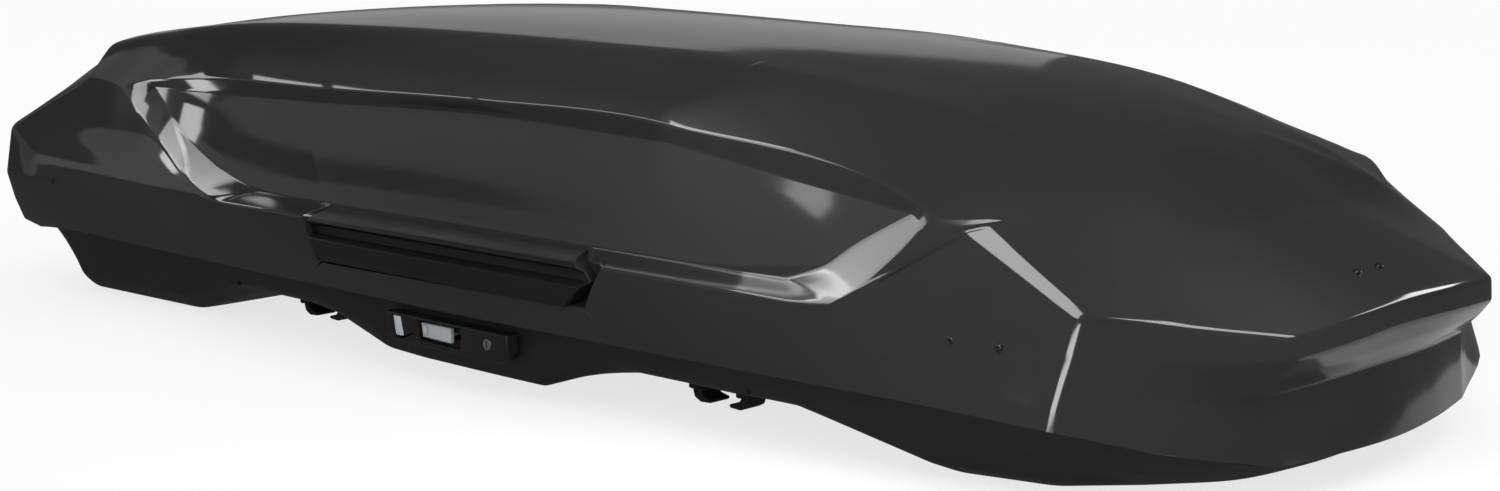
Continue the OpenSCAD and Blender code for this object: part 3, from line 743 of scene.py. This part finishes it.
# The base from its rim down the wall and under the bottom to the middle, left half, tail to nose
BASE_NET: list[list[Point]] = [
    [(-990, 0, 86), (-984, 0, 72), (-970, 0, 45), (-955, 0, 16), (-940, 0, 0), (-900, 0, 0), (-880, 0, 0),
     (-850, 0, 0), (-800, 0, 0)],
    [(-989, 215, 86), (-983, 213, 72), (-969, 208, 45), (-954, 200, 16), (-939, 195, 0), (-899, 170, 0),
     (-879, 150, 0), (-849, 110, 0), (-780, 0, 0)],
    [(-985, 380, 87), (-979, 372, 72), (-965, 362, 45), (-950, 350, 16), (-930, 338, 0), (-895, 300, 0),
     (-875, 272, 0), (-840, 170, 0), (-760, 0, 0)],
    [(-940, 396, 92), (-935, 392, 78), (-925, 386, 50), (-915, 380, 21), (-905, 362, 0), (-880, 315, 0),
     (-860, 285, 0), (-820, 180, 0), (-740, 0, 0)],
    [(-640, 408, 95), (-640, 404, 80), (-640, 398, 55), (-640, 388, 27), (-640, 352, 0), (-640, 315, 0),
     (-640, 285, 0), (-640, 180, 0), (-640, 0, 0)],
    [(-480, 415, 97), (-480, 410, 84), (-475, 404, 70), (-470, 394, 62), (-462, 360, 50), (-462, 315, 50),
     (-462, 285, 50), (-462, 180, 50), (-462, 0, 50)],
    [(-448, 416, 97), (-448, 411, 84), (-448, 404, 70), (-448, 394, 62), (-448, 360, 50), (-448, 315, 50),
     (-448, 285, 50), (-448, 180, 50), (-448, 0, 50)],
    [(-303, 421, 97), (-303, 416, 86), (-303, 409, 72), (-303, 398, 62), (-303, 360, 50), (-303, 315, 50),
     (-303, 285, 50), (-303, 180, 50), (-303, 0, 50)],
    [(-250, 422, 97), (-250, 420, 88), (-240, 415, 68), (-230, 402, 55), (-225, 372, 48), (-250, 315, 50),
     (-250, 285, 50), (-250, 180, 50), (-250, 0, 50)],
    [(-130, 424, 97), (-130, 424, 84), (-130, 424, 52), (-120, 405, 24), (-110, 385, 28), (-130, 315, 50),
     (-130, 285, 50), (-130, 180, 50), (-130, 0, 50)],
    [(-48, 424, 97), (-48, 424, 84), (-48, 424, 53), (-48, 405, 21), (-48, 385, 25), (-48, 315, 50),
     (-48, 285, 50), (-48, 180, 50), (-48, 0, 50)],
    [(96, 424, 97), (96, 424, 84), (96, 424, 53), (96, 405, 20), (96, 385, 24), (96, 315, 50),
     (96, 285, 50), (96, 180, 50), (96, 0, 50)],
    [(170, 424, 97), (170, 423, 84), (170, 421, 50), (175, 405, 20), (175, 385, 24), (170, 315, 50),
     (170, 285, 50), (170, 180, 50), (170, 0, 50)],
    [(240, 422, 97), (240, 419, 86), (240, 412, 62), (235, 398, 40), (230, 372, 42), (240, 315, 50),
     (240, 285, 50), (240, 180, 50), (240, 0, 50)],
    [(303, 421, 97), (303, 416, 86), (303, 409, 72), (303, 398, 62), (303, 360, 50), (303, 315, 50),
     (303, 285, 50), (303, 180, 50), (303, 0, 50)],
    [(467, 417, 97), (467, 412, 86), (467, 405, 72), (467, 394, 62), (467, 360, 50), (467, 315, 50),
     (467, 285, 50), (467, 180, 50), (467, 0, 50)],
    [(570, 414, 97), (570, 409, 85), (570, 402, 70), (570, 390, 61), (570, 350, 50), (570, 315, 50),
     (570, 285, 50), (570, 180, 50), (570, 0, 50)],
    [(735, 406, 97), (735, 400, 80), (735, 388, 52), (735, 360, 20), (735, 310, 0), (735, 280, 0),
     (735, 250, 0), (735, 160, 0), (735, 0, 0)],
    [(905, 396, 94), (892, 382, 72), (875, 355, 45), (858, 320, 16), (842, 285, 0), (830, 255, 0),
     (820, 225, 0), (805, 150, 0), (780, 0, 0)],
    [(990, 333, 76), (975, 318, 56), (950, 290, 34), (925, 245, 12), (908, 215, 0), (885, 190, 0),
     (870, 165, 0), (845, 110, 0), (800, 0, 0)],
    [(1036, 200, 42), (1020, 190, 32), (1000, 175, 20), (980, 155, 8), (960, 140, 0), (930, 120, 0),
     (905, 100, 0), (870, 70, 0), (820, 0, 0)],
    [(1053, 103, 41), (1037, 98, 31), (1015, 90, 18), (995, 82, 7), (976, 75, 0), (945, 62, 0),
     (915, 52, 0), (880, 36, 0), (835, 0, 0)],
    [(1060, 0, 40), (1044, 0, 30), (1022, 0, 17), (1001, 0, 6), (982, 0, 0), (950, 0, 0), (920, 0, 0),
     (885, 0, 0), (850, 0, 0)],
]

# ------------------------------------------------------------------------------------ pieces
def slope_at(xs: Sequence[float], values: Sequence[float], k: int) -> float:
    """Slope of a smooth curve through a table, at its row k."""
    a, b = max(k - 1, 0), min(k + 1, len(xs) - 1)
    return (values[b] - values[a]) / (xs[b] - xs[a])


def along_box(x: float, xs: Sequence[float], values: Sequence[float]) -> float:
    """Reads a table smoothly.

    Args:
        x: place along the box, in millimetres.
        xs: places in the table, from tail to nose.
        values: the table's values there.

    Returns:
        The value at x, held at the table's ends.
    """
    x = min(max(x, xs[0]), xs[-1])
    k = next(n for n in range(len(xs) - 1) if x <= xs[n + 1])
    length = xs[k + 1] - xs[k]
    t = (x - xs[k]) / length
    m0, m1 = slope_at(xs, values, k) * length, slope_at(xs, values, k + 1) * length
    return ((2 * t**3 - 3 * t**2 + 1) * values[k] + (t**3 - 2 * t**2 + t) * m0
            + (3 * t**2 - 2 * t**3) * values[k + 1] + (t**3 - t**2) * m1)


@dataclass
class Lid:
    """The gloss lid: rim, skirt, belt, side frame, panel, shoulder and roof in one moulding."""

    wall_mm: float = 4.0
    crease_mm: float = 5.0
    line_steps: Sequence[int] = (6, 4, 3, 3, 10, 3, 3, 6, 1, 12, 12, 1, 10, 4, 5, 6, 5, 5, 5, 5)
    ring_steps: Sequence[int] = (2, 2, 2, 2, 2, 3, 4, 3, 1, 4, 5, 6, 6)
    # Rings that are creases all the way round; the others are smooth
    crease_rings: Sequence[int] = (1, 2, 3, 4, 5, 8, 9, 11)
    ridge_ring: int = 11
    # Rivets on the left side and on the bonnet, and the bonnet's slope there, in degrees
    side_rivets: Sequence[Point] = ((795, 410, 168), (850, 404, 168), (-865, 411.5, 168), (-935, 411.5, 168))
    bonnet_rivets: Sequence[Point] = ((1034, -24, 217.2), (1034, 24, 217.2))
    bonnet_slope: float = 28.0

    def roof_height(self, x: float, y: float) -> float:
        """Height of the cambered roof, in millimetres."""
        crown = along_box(x, ROOF_X, CROWN_Z)
        ridge = along_box(x, RIDGE_X, RIDGE_Z)
        half_width = along_box(x, RIDGE_X, RIDGE_Y)
        return crown - (crown - ridge) * min(1.3, abs(y) / half_width) ** 2

    def lines(self) -> list[list[Point]]:
        """The net's lines, carried on over the roof to its middle."""
        found = []
        for line, end in zip(LID_NET, ROOF_ENDS):
            ridge = line[self.ridge_ring]
            x, y = (ridge[0] + end) / 2, ridge[1] / 2
            middle = (end, 0.0, along_box(end, ROOF_X, CROWN_Z))
            found.append(line + [(x, y, self.roof_height(x, y)), middle])
        return found

    @staticmethod
    def keeps_corner(i: int, j: int) -> bool:
        """Whether ring j turns a corner at line i."""
        if j < 4:
            return i in (3, 8, 9, 11, 12, 16, 18)
        if j > 9:
            return i in (3, 16)
        if j > 8:
            return i in (3, 6, 14, 16)
        return 3 <= i <= 9 or 11 <= i <= 16 or i == 18

    def line_rounding(self, i: int, j: int) -> float:
        """Reach of the rounding along ring j at line i, in millimetres."""
        if i in (8, 9, 11, 12):
            return 2.0
        return 9.0 if i in (3, 4, 16, 18) else self.crease_mm

    def ring_rounding(self, i: int, j: int) -> float:
        """Reach of the rounding across ring j, in millimetres."""
        if j == self.ridge_ring:
            return 22.0 if i < 12 else 10.0
        return {1: 3.0, 2: 3.0, 3: 4.0, 8: 3.5, 9: 4.5}.get(j, self.crease_mm)

    def build(self) -> None:
        """Makes the shell and its rivets."""
        sheet = NetSheet(self.lines(), self.keeps_corner, lambda i, j: j in self.crease_rings,
                         self.line_rounding, self.ring_rounding, self.line_steps, self.ring_steps)
        shell = sheet.build("lid_moulding", self.wall_mm * MM)
        dress(shell, LID_ABS, "lid", ["lid_shell"])
        self.rivets()

    def rivets(self) -> None:
        """Domed rivets: two at each end of each side, and two on the nose."""
        spots = [((x, side * y, z), (0, side, 0)) for x, y, z in self.side_rivets for side in (1, -1)]
        tilt = math.radians(self.bonnet_slope)
        spots += [(place, (math.sin(tilt), 0, math.cos(tilt))) for place in self.bonnet_rivets]
        heads = [self.rivet(Vector(place), Vector(way)) for place, way in spots]
        dress(join("lid_rivet_heads", heads), RIVET_LACQUER, "lid", ["lid_rivets"])

    def rivet(self, place: Vector, way: Vector) -> bpy.types.Object:
        """One rivet: a flange with a dome on it."""
        head = barrel("rivet", 4.5, place - way * 5, place + way * 2.4, 32)
        soften(head, 1.9, 4)
        return head


@dataclass
class Base:
    """The matt lower shell with its keels, clamp slots and lock skirts."""

    wall_mm: float = 4.0
    line_steps: Sequence[int] = (5, 4, 3, 6, 5, 2, 5, 3, 4, 3, 4, 3, 3, 3, 5, 4, 6, 8, 6, 5, 4, 4)
    ring_steps: Sequence[int] = (3, 4, 4, 4, 3, 2, 4, 5)
    # Net cells that stay open: the clamp slots, and a window behind each lock
    open_cells: Sequence[tuple[int, int]] = ((6, 5), (14, 5), (10, 1))
    mat_low: Point = (-440, -255, 54.05)
    mat_high: Point = (540, 255, 57)
    rib_pitch_mm: float = 14.0
    groove_z: float = 55.6

    @staticmethod
    def line_rounding(i: int, j: int) -> float:
        """Reach of the rounding along ring j at line i, in millimetres."""
        if j in (5, 6) or i in (10, 11):
            return 1.5
        return 12.0 if i in (3, 4, 17, 18, 19) else 7.0

    @staticmethod
    def ring_rounding(i: int, j: int) -> float:
        """Reach of the rounding across ring j, in millimetres."""
        return {1: 6.0, 2: 8.0, 3: 10.0, 4: 12.0}.get(j, 2.0)

    def build(self) -> None:
        """Makes the shell and its mat."""
        sheet = NetSheet(BASE_NET, lambda i, j: 3 <= i <= 19, lambda i, j: j <= 4,
                         self.line_rounding, self.ring_rounding, self.line_steps, self.ring_steps)
        shell = sheet.build("base_moulding", self.wall_mm * MM, self.open_cells)
        dress(shell, BASE_ABS, "base", ["base_shell"])
        self.mat()

    def mat(self) -> None:
        """Ribbed mat on the floor between the clamps."""
        low, high = self.mat_low, self.mat_high
        count = int((high[0] - low[0]) / self.rib_pitch_mm)
        outline = [(high[0], low[2]), (low[0], low[2])]
        for n in range(count):
            x = low[0] + n * self.rib_pitch_mm
            outline += [(x + dx, z) for dx, z in
                        ((0.5, self.groove_z), (2.0, high[2]), (9.0, high[2]), (10.5, self.groove_z))]
        mat = prism("floor_mat", outline, Plane.XZ, low[1], high[1])
        bpy.ops.object.shade_smooth_by_angle(angle=math.radians(20))
        dress(mat, MAT_RUBBER, "base", ["base_mat"])


@dataclass
class Grips:
    """The long grip along each side of the lid."""

    # Cross section as (y, z), from the pocket's floor out over the steps
    section: Sequence[Flat] = ((430.1, 138), (430.1, 196), (418, 202.5), (441, 196.5), (449, 191), (452, 186),
                               (443, 181), (443, 171), (456, 165), (457.5, 146), (455, 138))
    # Slanted ends and sloping lower edge as (x, z)
    profile: Sequence[Flat] = ((-195, 139), (-226, 190), (-207, 210), (264, 210), (322, 190), (292, 146.5))
    reach: Flat = (-240, 340)

    def build(self) -> None:
        """Makes the left grip and its mirror image."""
        left = prism("side_grip_left", self.section, Plane.YZ, *self.reach)
        around = list(self.profile) + [self.profile[0]]
        for (xa, za), (xb, zb) in zip(around, around[1:]):
            slice_off(left, (xa, 0, za), (za - zb, 0, xb - xa))
        soften(left, 1.6, 4, 20)
        right = flipped(left, "side_grip_right")
        dress(left, GRIP_NYLON, "lid", ["side_handle_left"])
        dress(right, GRIP_NYLON, "lid", ["side_handle_right"])


@dataclass
class Locks:
    """The lock on each side: housing, slide, indicator and key barrel."""

    # Outlines as (x, z), each with its depths along Y, in millimetres
    housing: Sequence[Flat] = ((-80, 87), (-72, 57), (-62, 51), (140, 50), (150, 54), (156, 66), (154, 87))
    housing_y: Flat = (424.5, 444)
    recess: Sequence[Flat] = ((-16, 83.5), (-12, 60), (-8, 57), (66, 56), (70, 60), (70, 83.5))
    recess_y: Flat = (432, 450)
    window_recess: Sequence[Flat] = ((-63, 84), (-58, 58), (-40, 57), (-47, 84))
    window_recess_y: Flat = (440, 450)
    window: Sequence[Flat] = ((-62, 83), (-57.5, 59), (-41.5, 58), (-48, 83))
    window_y: Flat = (440.5, 443.5)
    slab: Sequence[Flat] = ((-11, 80), (-8, 62), (46, 61), (46, 80))
    slab_y: Flat = (434, 440)
    rib: Sequence[Flat] = ((-6, 78), (-4, 66), (2, 66), (0, 78))
    rib_y: Flat = (439, 443)
    key_x: float = 119
    key_z: float = 71
    key_r: float = 7
    key_y: Flat = (427.5, 445)
    key_play: float = 0.2

    def make_housing(self) -> bpy.types.Object:
        """The satin moulding round the slide and the key."""
        body = prism("lock_housing", self.housing, Plane.XZ, *self.housing_y)
        soften(body, 3.0, 4)
        carve(body, prism("recess", self.recess, Plane.XZ, *self.recess_y))
        carve(body, prism("window recess", self.window_recess, Plane.XZ, *self.window_recess_y))
        carve(body, block("tongue slot", (-14, 420, 65), (60, 436, 74)))
        carve(body, barrel("key hole", self.key_r + self.key_play, (self.key_x, 427, self.key_z),
                           (self.key_x, 450, self.key_z)))
        soften(body, 0.7, 2, 40)
        return body

    def make_slide(self) -> bpy.types.Object:
        """The grey thumb slide with its raised rib and its tongue to the latch rod."""
        parts = ((prism("slide slab", self.slab, Plane.XZ, *self.slab_y), 1.0),
                 (prism("slide rib", self.rib, Plane.XZ, *self.rib_y), 0.9),
                 (block("slide tongue", (-8, 409, 67), (36, 435, 72)), 0.8),
                 (block("slide leg", (10, 391, 67), (22, 410, 72)), 0.8))
        for part, rounding in parts:
            soften(part, rounding)
        return join("lock_slide", [part for part, _ in parts])

    def make_key(self) -> bpy.types.Object:
        """The key barrel with its slot."""
        back, front = self.key_y
        key = barrel("key_barrel", self.key_r, (self.key_x, back, self.key_z),
                     (self.key_x, front, self.key_z), 64)
        soften(key, 0.9)
        carve(key, block("key slot", (self.key_x - 1.1, 440.5, 66.2), (self.key_x + 1.1, 450, 75.8)))
        bpy.ops.object.shade_smooth_by_angle(angle=CRISP)
        return key

    def build(self) -> None:
        """Makes each piece on the left and mirrors it to the right."""
        window = prism("status_pane", self.window, Plane.XZ, *self.window_y)
        soften(window, 0.7)
        for piece, finish, body, slot, node in (
                (self.make_housing(), LOCK_NYLON, "base", "lock_plastic", "lock_housing"),
                (self.make_slide(), SLIDE_ACETAL, "latch", "slide_grey", "lock_slide"),
                (window, WINDOW_ACRYLIC, "base", "window_grey", "status_window"),
                (self.make_key(), KEY_NICKEL, "key", "key_metal", "key_cylinder")):
            name = piece.name
            piece.name = name + "_left"
            right = flipped(piece, name + "_right")
            for copy, side in ((piece, "left"), (right, "right")):
                rides = body if body == "base" else f"{body}_{side}"
                dress(copy, finish, rides, [f"{node}_{side}"])


@dataclass
class Clamps:
    """The four crossbar clamps: body, seat, knob and two claws each."""

    spots: Sequence[tuple[str, float]] = (("front", 385.0), ("rear", -385.0))
    clamp_y: float = 300.0
    claw_x: float = 38.0
    claw_z: float = 36.0
    claw: Sequence[Flat] = ((32, 36), (33, 30), (28, 24), (14, 21), (15, 17), (32, 16), (42, 21), (45, 30),
                            (44, 36))
    claw_half: float = 16.5
    knuckle_r: float = 6.0
    pin_r: float = 3.0
    # Blocks of the body: name, low corner, high corner and rounding
    blocks: Sequence[tuple[str, Point, Point, float]] = (
        ("sole", (-45, -26, 54.4), (45, 26, 72), 5), ("crown", (-34, -22, 70), (34, 22, 84), 5),
        ("neck", (-20, -14.5, 48), (20, 14.5, 56), 1), ("foot", (-44, -24, 40), (44, 24, 49.6), 2.5))
    groove_x: Sequence[float] = (-20, -10, 0, 10, 20)
    # Half of the knob's grip seen from above, as (x, y)
    grip_half: Sequence[Flat] = ((-9, 4), (0, 3.2), (9, 4), (15, 5), (19, 3.2), (20, 0))

    def shift(self, piece: bpy.types.Object, x: float, side: int) -> None:
        """Moves a piece's mesh from the middle of the box to a clamp's place."""
        piece.data.transform(Matrix.Translation((x * MM, side * self.clamp_y * MM, 0)))

    def across(self, name: str, radius: float, way: int, half: float) -> bpy.types.Object:
        """A round bar along Y on the line of a claw's pin, in millimetres."""
        x = way * self.claw_x
        return barrel(name, radius, (x, -half, self.claw_z), (x, half, self.claw_z))

    def make_claw(self, way: int) -> bpy.types.Object:
        """One rubber-covered claw with its knuckle."""
        outline = [(way * x, z) for x, z in self.claw]
        jaw = prism("claw", outline, Plane.XZ, -self.claw_half, self.claw_half)
        soften(jaw, 2.0, 3, 20)
        knuckle = self.across("knuckle", self.knuckle_r, way, self.claw_half)
        soften(knuckle, 0.8, 2)
        return join("claw", [jaw, knuckle])

    def make_body(self) -> bpy.types.Object:
        """Housing above the floor, neck through the slot, foot with its hinge ears below."""
        made = []
        for name, low, high, rounding in self.blocks:
            piece = block(name, low, high)
            if name == "foot":
                for way in (-1, 1):
                    carve(piece, self.across("relief", 7.5, way, 17.2))
            soften(piece, rounding, 3)
            made.append(piece)
        for way in (-1, 1):
            x = way * self.claw_x
            for y in (-24, 17):
                ear = block("ear", (x - 6, y, 33), (x + 6, y + 7, 41))
                soften(ear, 1.5, 3)
                made.append(ear)
            pin = self.across("claw pin", self.pin_r, way, 25)
            soften(pin, 0.6, 2)
            made.append(pin)
        post = barrel("post", 6, (0, 0, 83), (0, 0, 88))
        soften(post, 0.5, 2)
        return join("clamp_body", made + [post])

    def make_seat(self) -> bpy.types.Object:
        """Rubber seat with grooves across it."""
        seat = block("bar_seat", (-30, -22, 37), (30, 22, 40))
        soften(seat, 1.0, 3)
        for x in self.groove_x:
            carve(seat, block("groove", (x - 1, -30, 36), (x + 1, 30, 37.9)))
        return seat

    def make_knob(self) -> bpy.types.Object:
        """Turning knob: a round skirt and a waisted grip bar."""
        skirt = barrel("skirt", 17, (0, 0, 84.5), (0, 0, 94.5), 64)
        soften(skirt, 2.0, 4)
        outline = [(turn * x, turn * y) for turn in (1, -1) for x, y in self.grip_half]
        bar = prism("bar", outline, Plane.XY, 94, 108)
        soften(bar, 1.6, 4)
        return join("clamp_knob", [skirt, bar])

    def build(self) -> None:
        """Models one clamp in the middle and places a copy of each piece at every clamp."""
        patterns = ((self.make_body(), LOCK_NYLON, "clamp", "clamp_plastic", "clamp_body"),
                    (self.make_seat(), CLAW_RUBBER, "clamp", "pad_rubber", "bar_pad"),
                    (self.make_knob(), GRIP_NYLON, "knob", "clamp_plastic", "clamp_knob"),
                    (self.make_claw(1), CLAW_RUBBER, "fore_claw", "claw_rubber", "claw_fore"),
                    (self.make_claw(-1), CLAW_RUBBER, "aft_claw", "claw_rubber", "claw_aft"))
        for pattern, finish, body, slot, node in patterns:
            for end, x in self.spots:
                for side_name, side in (("right", -1), ("left", 1)):
                    copy = pattern.copy()
                    copy.data = pattern.data.copy()
                    copy.name = f"{node}_{end}_{side_name}_visual"
                    bpy.context.scene.collection.objects.link(copy)
                    self.shift(copy, x, side)
                    dress(copy, finish, f"{body}_{end}_{side_name}", [f"{node}_{end}_{side_name}"])
            bpy.data.objects.remove(pattern)


@dataclass
class Inside:
    """The metal parts between the shells, which keep their CAD shapes and get real finishes."""

    finishes: dict[str, Finish] = field(default_factory=lambda: {
        "zinc_steel": ZINC_STEEL, "arm_aluminium": ARM_ALUMINIUM, "lock_plastic": LOCK_NYLON})

    def build(self) -> None:
        """Gives every CAD node that still shows the finish of its slot."""
        for part in frame["record"]["subparts"]:
            node = frame["nodes"][part["node"]]
            finish = self.finishes.get(part["material_slot"])
            if node.hide_render or finish is None:
                continue
            node.data.materials.clear()
            node.data.materials.append(finish.material())
            log.info("%s keeps its CAD shape in %s", part["node"], finish.name)


# ------------------------------------------------------------------------------------ studio
@dataclass(frozen=True)
class Lamp:
    """A soft rectangular lamp that faces the box.

    A far lamp has its spread in degrees, as seen from the box. A near lamp, which lights one facet or
    edge only, has its middle and its size in metres.
    """

    name: str
    # Degrees from +X towards +Y, and above the floor, of the way from the box to the lamp
    azimuth: float
    elevation: float
    size: Flat
    # How bright its face is, where 1 is white
    brightness: float
    middle: Optional[Point] = None


@dataclass
class Studio:
    """Pale floor, soft lamps and the camera."""

    camera_place: Point = (2.1175, -2.1264, 0.6260)
    camera_target: Point = (0.1386, 0.0, 0.140)
    lens_mm: float = 52.8
    # Distance of the far lamps, and the point that they face
    distance: float = 5.0
    centre: Point = (0.0, 0.0, 0.25)
    floor_radius: float = 30.0
    # Brightness of the room as the gloss mirrors it, and as it lights matt surfaces
    surround: float = 0.10
    fill: float = 1.0
    floor_in_gloss: float = 0.12
    # Share of pure white in the floor as the camera sees it
    floor_glow: float = 0.75
    lamps: Sequence[Lamp] = (
        Lamp("side_fill", -135, 15, (60, 16), 0.3),
        Lamp("far_horizon_fill", 138, 10, (40, 14), 0.28),
        Lamp("rear_arm_strip_high", -142, 12, (0.035, 0.044), 5.0, (-0.772, -0.434, 0.309)),
        Lamp("rear_arm_strip_middle", -149, 32, (0.028, 0.065), 5.5, (-0.674, -0.437, 0.286)),
        Lamp("rear_arm_strip_low", -178, 43, (0.06, 0.084), 3.8, (-0.66, -0.435, 0.36)),
        Lamp("front_arm_panel", -171, 34, (0.27, 0.16), 4.2, (0.42, -0.50, 0.44)),
        Lamp("hip_panel", -85, 47, (0.36, 0.44), 9.0, (0.88, -0.80, 0.68)),
        Lamp("corner_panel", -72, 10, (0.26, 0.16), 12.0, (1.10, -0.97, 0.24)),
        Lamp("nose_edge_strip", 20, 60, (0.13, 0.26), 8.0, (1.14, -0.23, 0.351)),
        Lamp("nose_front_strip", 65, 22, (0.32, 0.12), 6.0, (1.20, 0.50, 0.42)),
        Lamp("nose_floor_card", 0, -90, (0.40, 0.70), 0.5, (1.18, 0.40, 0.004)),
    )
    # Middle along X, height and length of each strip above the long ledge
    ledge_strips: Sequence[Point] = ((-0.42, 0.394, 0.16), (-0.18, 0.405, 0.30), (0.17, 0.399, 0.36),
                                     (0.44, 0.378, 0.16))
    ledge_strip_y: float = -0.397
    ledge_strip_width: float = 0.018
    ledge_strip_brightness: float = 3.5

    def hang(self, lamp: Lamp) -> None:
        """Hangs a lamp so that it faces the box.

        Args:
            lamp: its place, size and brightness.
        """
        around, up = math.radians(lamp.azimuth), math.radians(lamp.elevation)
        way = Vector((math.cos(around) * math.cos(up), math.sin(around) * math.cos(up), math.sin(up)))
        place, size = lamp.middle, lamp.size
        if place is None:
            place = Vector(self.centre) + way * self.distance
            size = [2 * self.distance * math.tan(math.radians(s) / 2) for s in lamp.size]
        data = bpy.data.lights.new(lamp.name, "AREA")
        data.shape = "RECTANGLE"
        data.size, data.size_y = size
        data.energy = lamp.brightness * math.pi * size[0] * size[1]
        piece = bpy.data.objects.new(lamp.name, data)
        piece.location = place
        piece.visible_camera = False
        piece.rotation_mode = "QUATERNION"
        piece.rotation_quaternion = (-way).to_track_quat("-Z", "Y")
        bpy.context.scene.collection.objects.link(piece)

    def floor(self) -> None:
        """Lays a pale floor under the box's keels; the gloss mirrors it dimly."""
        bpy.ops.object.select_all(action="DESELECT")
        bpy.ops.mesh.primitive_circle_add(vertices=96, radius=self.floor_radius, fill_type="NGON",
                                          location=(0, 0, -0.0005))
        ground = bpy.context.object
        ground.name = "studio_floor"
        settle(ground)
        paint = FLOOR_PAINT.material()
        tree = paint.node_tree
        shader = next(n for n in tree.nodes if n.type == "BSDF_PRINCIPLED")
        out = next(n for n in tree.nodes if n.type == "OUTPUT_MATERIAL")
        path = add_node(tree, "ShaderNodeLightPath")
        dim = add_node(tree, "ShaderNodeEmission", Strength=self.floor_in_gloss)
        mirrored = add_node(tree, "ShaderNodeMixShader",
                            {0: path.outputs["Is Glossy Ray"], 1: shader.outputs[0], 2: dim.outputs[0]})
        share = add_node(tree, "ShaderNodeMath", {0: path.outputs["Is Camera Ray"]}, operation="MULTIPLY")
        share.inputs[1].default_value = self.floor_glow
        white = add_node(tree, "ShaderNodeEmission", Strength=1.0)
        seen = add_node(tree, "ShaderNodeMixShader",
                        {0: share.outputs[0], 1: mirrored.outputs[0], 2: white.outputs[0]})
        tree.links.new(seen.outputs[0], out.inputs["Surface"])
        ground.data.materials.append(paint)

    def sky(self) -> None:
        """Sets a white surround behind the box and a dim grey one for what the gloss mirrors."""
        world = bpy.data.worlds.new("studio")
        world.use_nodes = True
        bpy.context.scene.world = world
        tree = world.node_tree
        tree.nodes.clear()
        white = linear("ffffff")
        path = add_node(tree, "ShaderNodeLightPath")
        seen = add_node(tree, "ShaderNodeBackground", Color=white, Strength=1.0)
        level = add_node(tree, "ShaderNodeMapRange", {"Value": path.outputs["Is Diffuse Ray"]},
                         To_Min=self.surround, To_Max=self.fill)
        room = add_node(tree, "ShaderNodeBackground", {"Strength": level.outputs["Result"]}, Color=white)
        blend = add_node(tree, "ShaderNodeMixShader",
                         {0: path.outputs["Is Camera Ray"], 1: room.outputs[0], 2: seen.outputs[0]})
        add_node(tree, "ShaderNodeOutputWorld", {"Surface": blend.outputs[0]})

    def camera(self) -> None:
        """Sets up the camera that looks at the right side and the nose."""
        data = bpy.data.cameras.new("camera")
        data.sensor_width = 36.0
        data.lens = self.lens_mm
        data.clip_end = 100
        camera = bpy.data.objects.new("camera", data)
        camera.location = self.camera_place
        aim = Vector(self.camera_target) - Vector(self.camera_place)
        camera.rotation_mode = "QUATERNION"
        camera.rotation_quaternion = aim.to_track_quat("-Z", "Y")
        bpy.context.scene.collection.objects.link(camera)
        bpy.context.scene.camera = camera
        bpy.context.scene.view_settings.view_transform = "Standard"

    def build(self) -> None:
        """Sets up the whole studio."""
        self.camera()
        self.floor()
        self.sky()
        for lamp in self.lamps:
            self.hang(lamp)
        for n, (x, height, length) in enumerate(self.ledge_strips):
            self.hang(Lamp(f"ledge_strip_{n}", -90, 75, (length, self.ledge_strip_width),
                           self.ledge_strip_brightness, (x, self.ledge_strip_y, height)))


def main() -> None:
    """Builds the studio and the box's pieces in order and reports each one."""
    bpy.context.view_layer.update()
    Studio().build()
    for part in (Lid(), Base(), Grips(), Locks(), Clamps(), Inside()):
        part.build()


if __name__ == "__main__":
    main()
